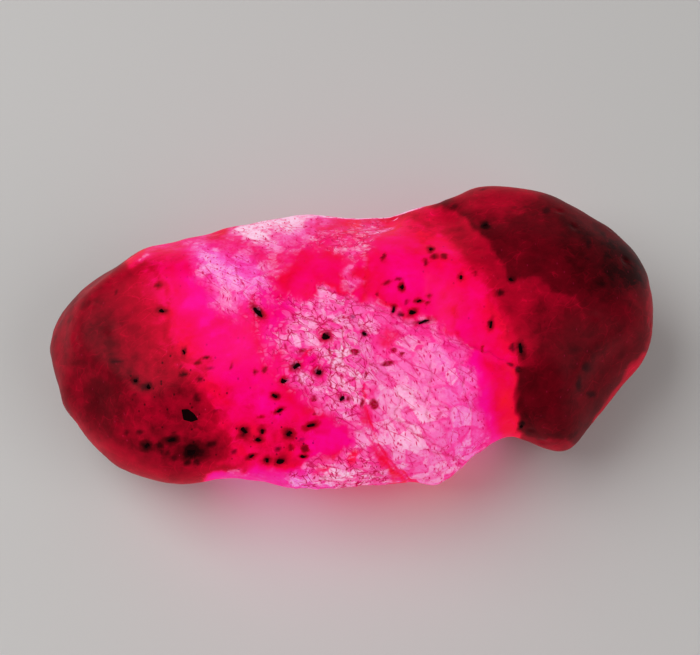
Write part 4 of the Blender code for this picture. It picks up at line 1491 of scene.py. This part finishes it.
def dashes(skin):
    """Short dark dashes."""
    dash = skin.warped.turned((0.0, 0.0, -0.35)).scaled((3.4, 1.2, 1.4)).cells().fading(0.12, 0.30)
    return dash * skin.place.noise(0.8).step(0.30, 0.46)


def partings(skin):
    """Long, thin and nearly straight lines."""
    parting = skin.place.turned(CELL_LEAN).scaled((0.20, 1.3, 0.7)).border().fading(0.01, 0.05)
    return parting * skin.place.noise(0.6, detail=2.0).step(0.42, 0.56)


lines = dashes(skin) + partings(skin) * PARTING_STRENGTH + slab_cracks(skin)
print("nodes with the lines:", len(ruby.node_tree.nodes))

# %% Scratches and hairs
SPECK_STRENGTH = 0.8
DUST_STRENGTH = 0.6
SCRATCH_STRENGTH = 0.92
HAIR_REST = 0.1
HAIR_CRAZED = 0.8


def scratch_amount(skin, lines):
    """All fine lines and specks that show where there is frost."""
    speck = skin.place.cells(2.8).fading(0.08, 0.22)
    dust = skin.place.cells(4.5).fading(0.10, 0.30) * skin.lavender
    scratches = lines + speck * SPECK_STRENGTH + dust * DUST_STRENGTH
    return scratches.clamped() * skin.frost.step(0.02, 0.6) * SCRATCH_STRENGTH


def hair_amount(skin):
    """Dark hairs, most of all in crazed skin with thin frost."""
    hair = skin.leaned.scaled((1.2, 2.0, 1.6), (0.3, 0.1, 0.2)).border().fading(0.01, 0.06)
    hair = hair * skin.place.noise(1.1, detail=2.0).step(0.44, 0.60)
    hair = hair * skin.frost.step(0.02, 0.2) * (skin.crazed * HAIR_CRAZED + HAIR_REST)
    return hair * (1.0 - skin.frost.step(0.5, 1.0) * 0.5)


scratched = scratch_amount(skin, lines)
haired = hair_amount(skin)
print("nodes with the hairs:", len(ruby.node_tree.nodes))

# %% [markdown]
# ## Dark specks and painted glints in the grainy parts
#
# Round the large grains the ruby is peppered with tiny dark ones, and with small bright flecks, painted
# glints where cracks catch the light. Hundreds of small stones would cost triangles and be seen by nobody.
# Dots of random cells are used, and the cells' own random numbers say which have one.

# %% Dots, and bright flecks of painted glint
DOT_STRENGTH = 0.75
PAINTED_GLINT_STRENGTH = 0.55

grainy = skin.grainy * (1.0 - frosted)
dot_cells = skin.place.scaled((1.7, 1.3, 1.5))
dotted = dot_cells.cells().fading(0.08, 0.20) * dot_cells.cell_tone().step(0.40, 0.50)
# bright flecks: painted glints where cracks catch the light
glint_cells = skin.place.scaled((2.4, 1.0, 1.4), (0.3, 0.2, 0.5))
glinted = glint_cells.cells().fading(0.04, 0.14) * glint_cells.cell_tone(1).step(0.60, 0.70)
print("nodes with the specks:", len(ruby.node_tree.nodes))

# %% [markdown]
# ## The layers together
#
# The layers lie as they do in the stone: the glow is deepest, the frost lies over it, the open cracks cut
# through the frost, and the grains' dark marks with their painted shadows come last. Frosted skin is a little
# rougher than clear skin. Ruby bends light strongly, but this skin is worn dull, so it keeps ruby's index of
# refraction and almost no gloss.

# %% The ruby's material
BASE_SHARE = 0.45
GLOW_STRENGTH = 0.72
RUBY_IOR = 1.77
CLEAR_ROUGHNESS = 0.42
FROSTED_ROUGHNESS = 0.6
LINE_REST = 0.5
LINE_CRAZED = 0.4

# a rose haze of thin frost and painted light round the frosted patches
colour = glow_haze.mix(glow, FROST_ROSE)
colour = craze.mix(colour, skin.rose)
colour = frosted.mix(colour, frost_shine)
colour = scratched.mix(colour, skin.crazed.mix(CRACK, DEEP_CRACK))
colour = haired.mix(colour, DEEP_CRACK)
colour = (skin.line * (skin.crazed * LINE_CRAZED + LINE_REST)).mix(colour, DEEP_CRACK)
colour = (dotted * grainy * DOT_STRENGTH).mix(colour, DARK_GRAIN_AND_SHADE)
# painted glints where cracks catch the light
colour = (glinted * grainy * PAINTED_GLINT_STRENGTH).mix(colour, PAINTED_GLINT)
# the grains' dark marks, with their painted shadows
colour = skin.soot.mix(colour, DARK_GRAIN_AND_SHADE)
# The colour holds the painted light from below: a share of it is the base colour, and all of it glows as
# emission.
base = colour.out("ShaderNodeVectorMath", {"operation": "SCALE"}, i0=colour, Scale=BASE_SHARE)
connect(base, ruby_shader, "Base Color")
connect(colour, ruby_shader, "Emission Color")
connect(frosted.step(0.0, 1.0, CLEAR_ROUGHNESS, FROSTED_ROUGHNESS), ruby_shader, "Roughness")
ruby_shader.inputs["Emission Strength"].default_value = GLOW_STRENGTH
ruby_shader.inputs["IOR"].default_value = RUBY_IOR
stone.data.materials.append(ruby)
print("nodes in the ruby's material:", len(ruby.node_tree.nodes))

# %% [markdown]
# ## The grains' material
#
# The grains are black crystals with a faint red cast from the ruby round them. One flat black
# would look like holes, so a fine noise moves both their colour and their roughness a little.

# %% The grains' black
GRAIN_BLACK = srgb(4, 0, 1)
GRAIN_RED_BLACK = srgb(34, 2, 6)

inclusion, grain_shader, grain_place = new_material("dark_inclusion")
grain_cloud = grain_place.noise(3.0, detail=3.0)
connect(grain_cloud.mix(GRAIN_BLACK, GRAIN_RED_BLACK), grain_shader, "Base Color")
connect(grain_cloud.step(0.3, 0.7, 0.55, 0.75), grain_shader, "Roughness")
dark_grains.data.materials.clear()
dark_grains.data.materials.append(inclusion)
print("nodes in the grains' material:", len(inclusion.node_tree.nodes))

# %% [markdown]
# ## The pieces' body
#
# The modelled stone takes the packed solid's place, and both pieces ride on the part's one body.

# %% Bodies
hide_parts("ruby_crystal")
for piece, slot in ((stone, "ruby"), (dark_grains, "dark_inclusion")):
    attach(piece, "root")
print("pieces:", stone.name, "and", dark_grains.name)
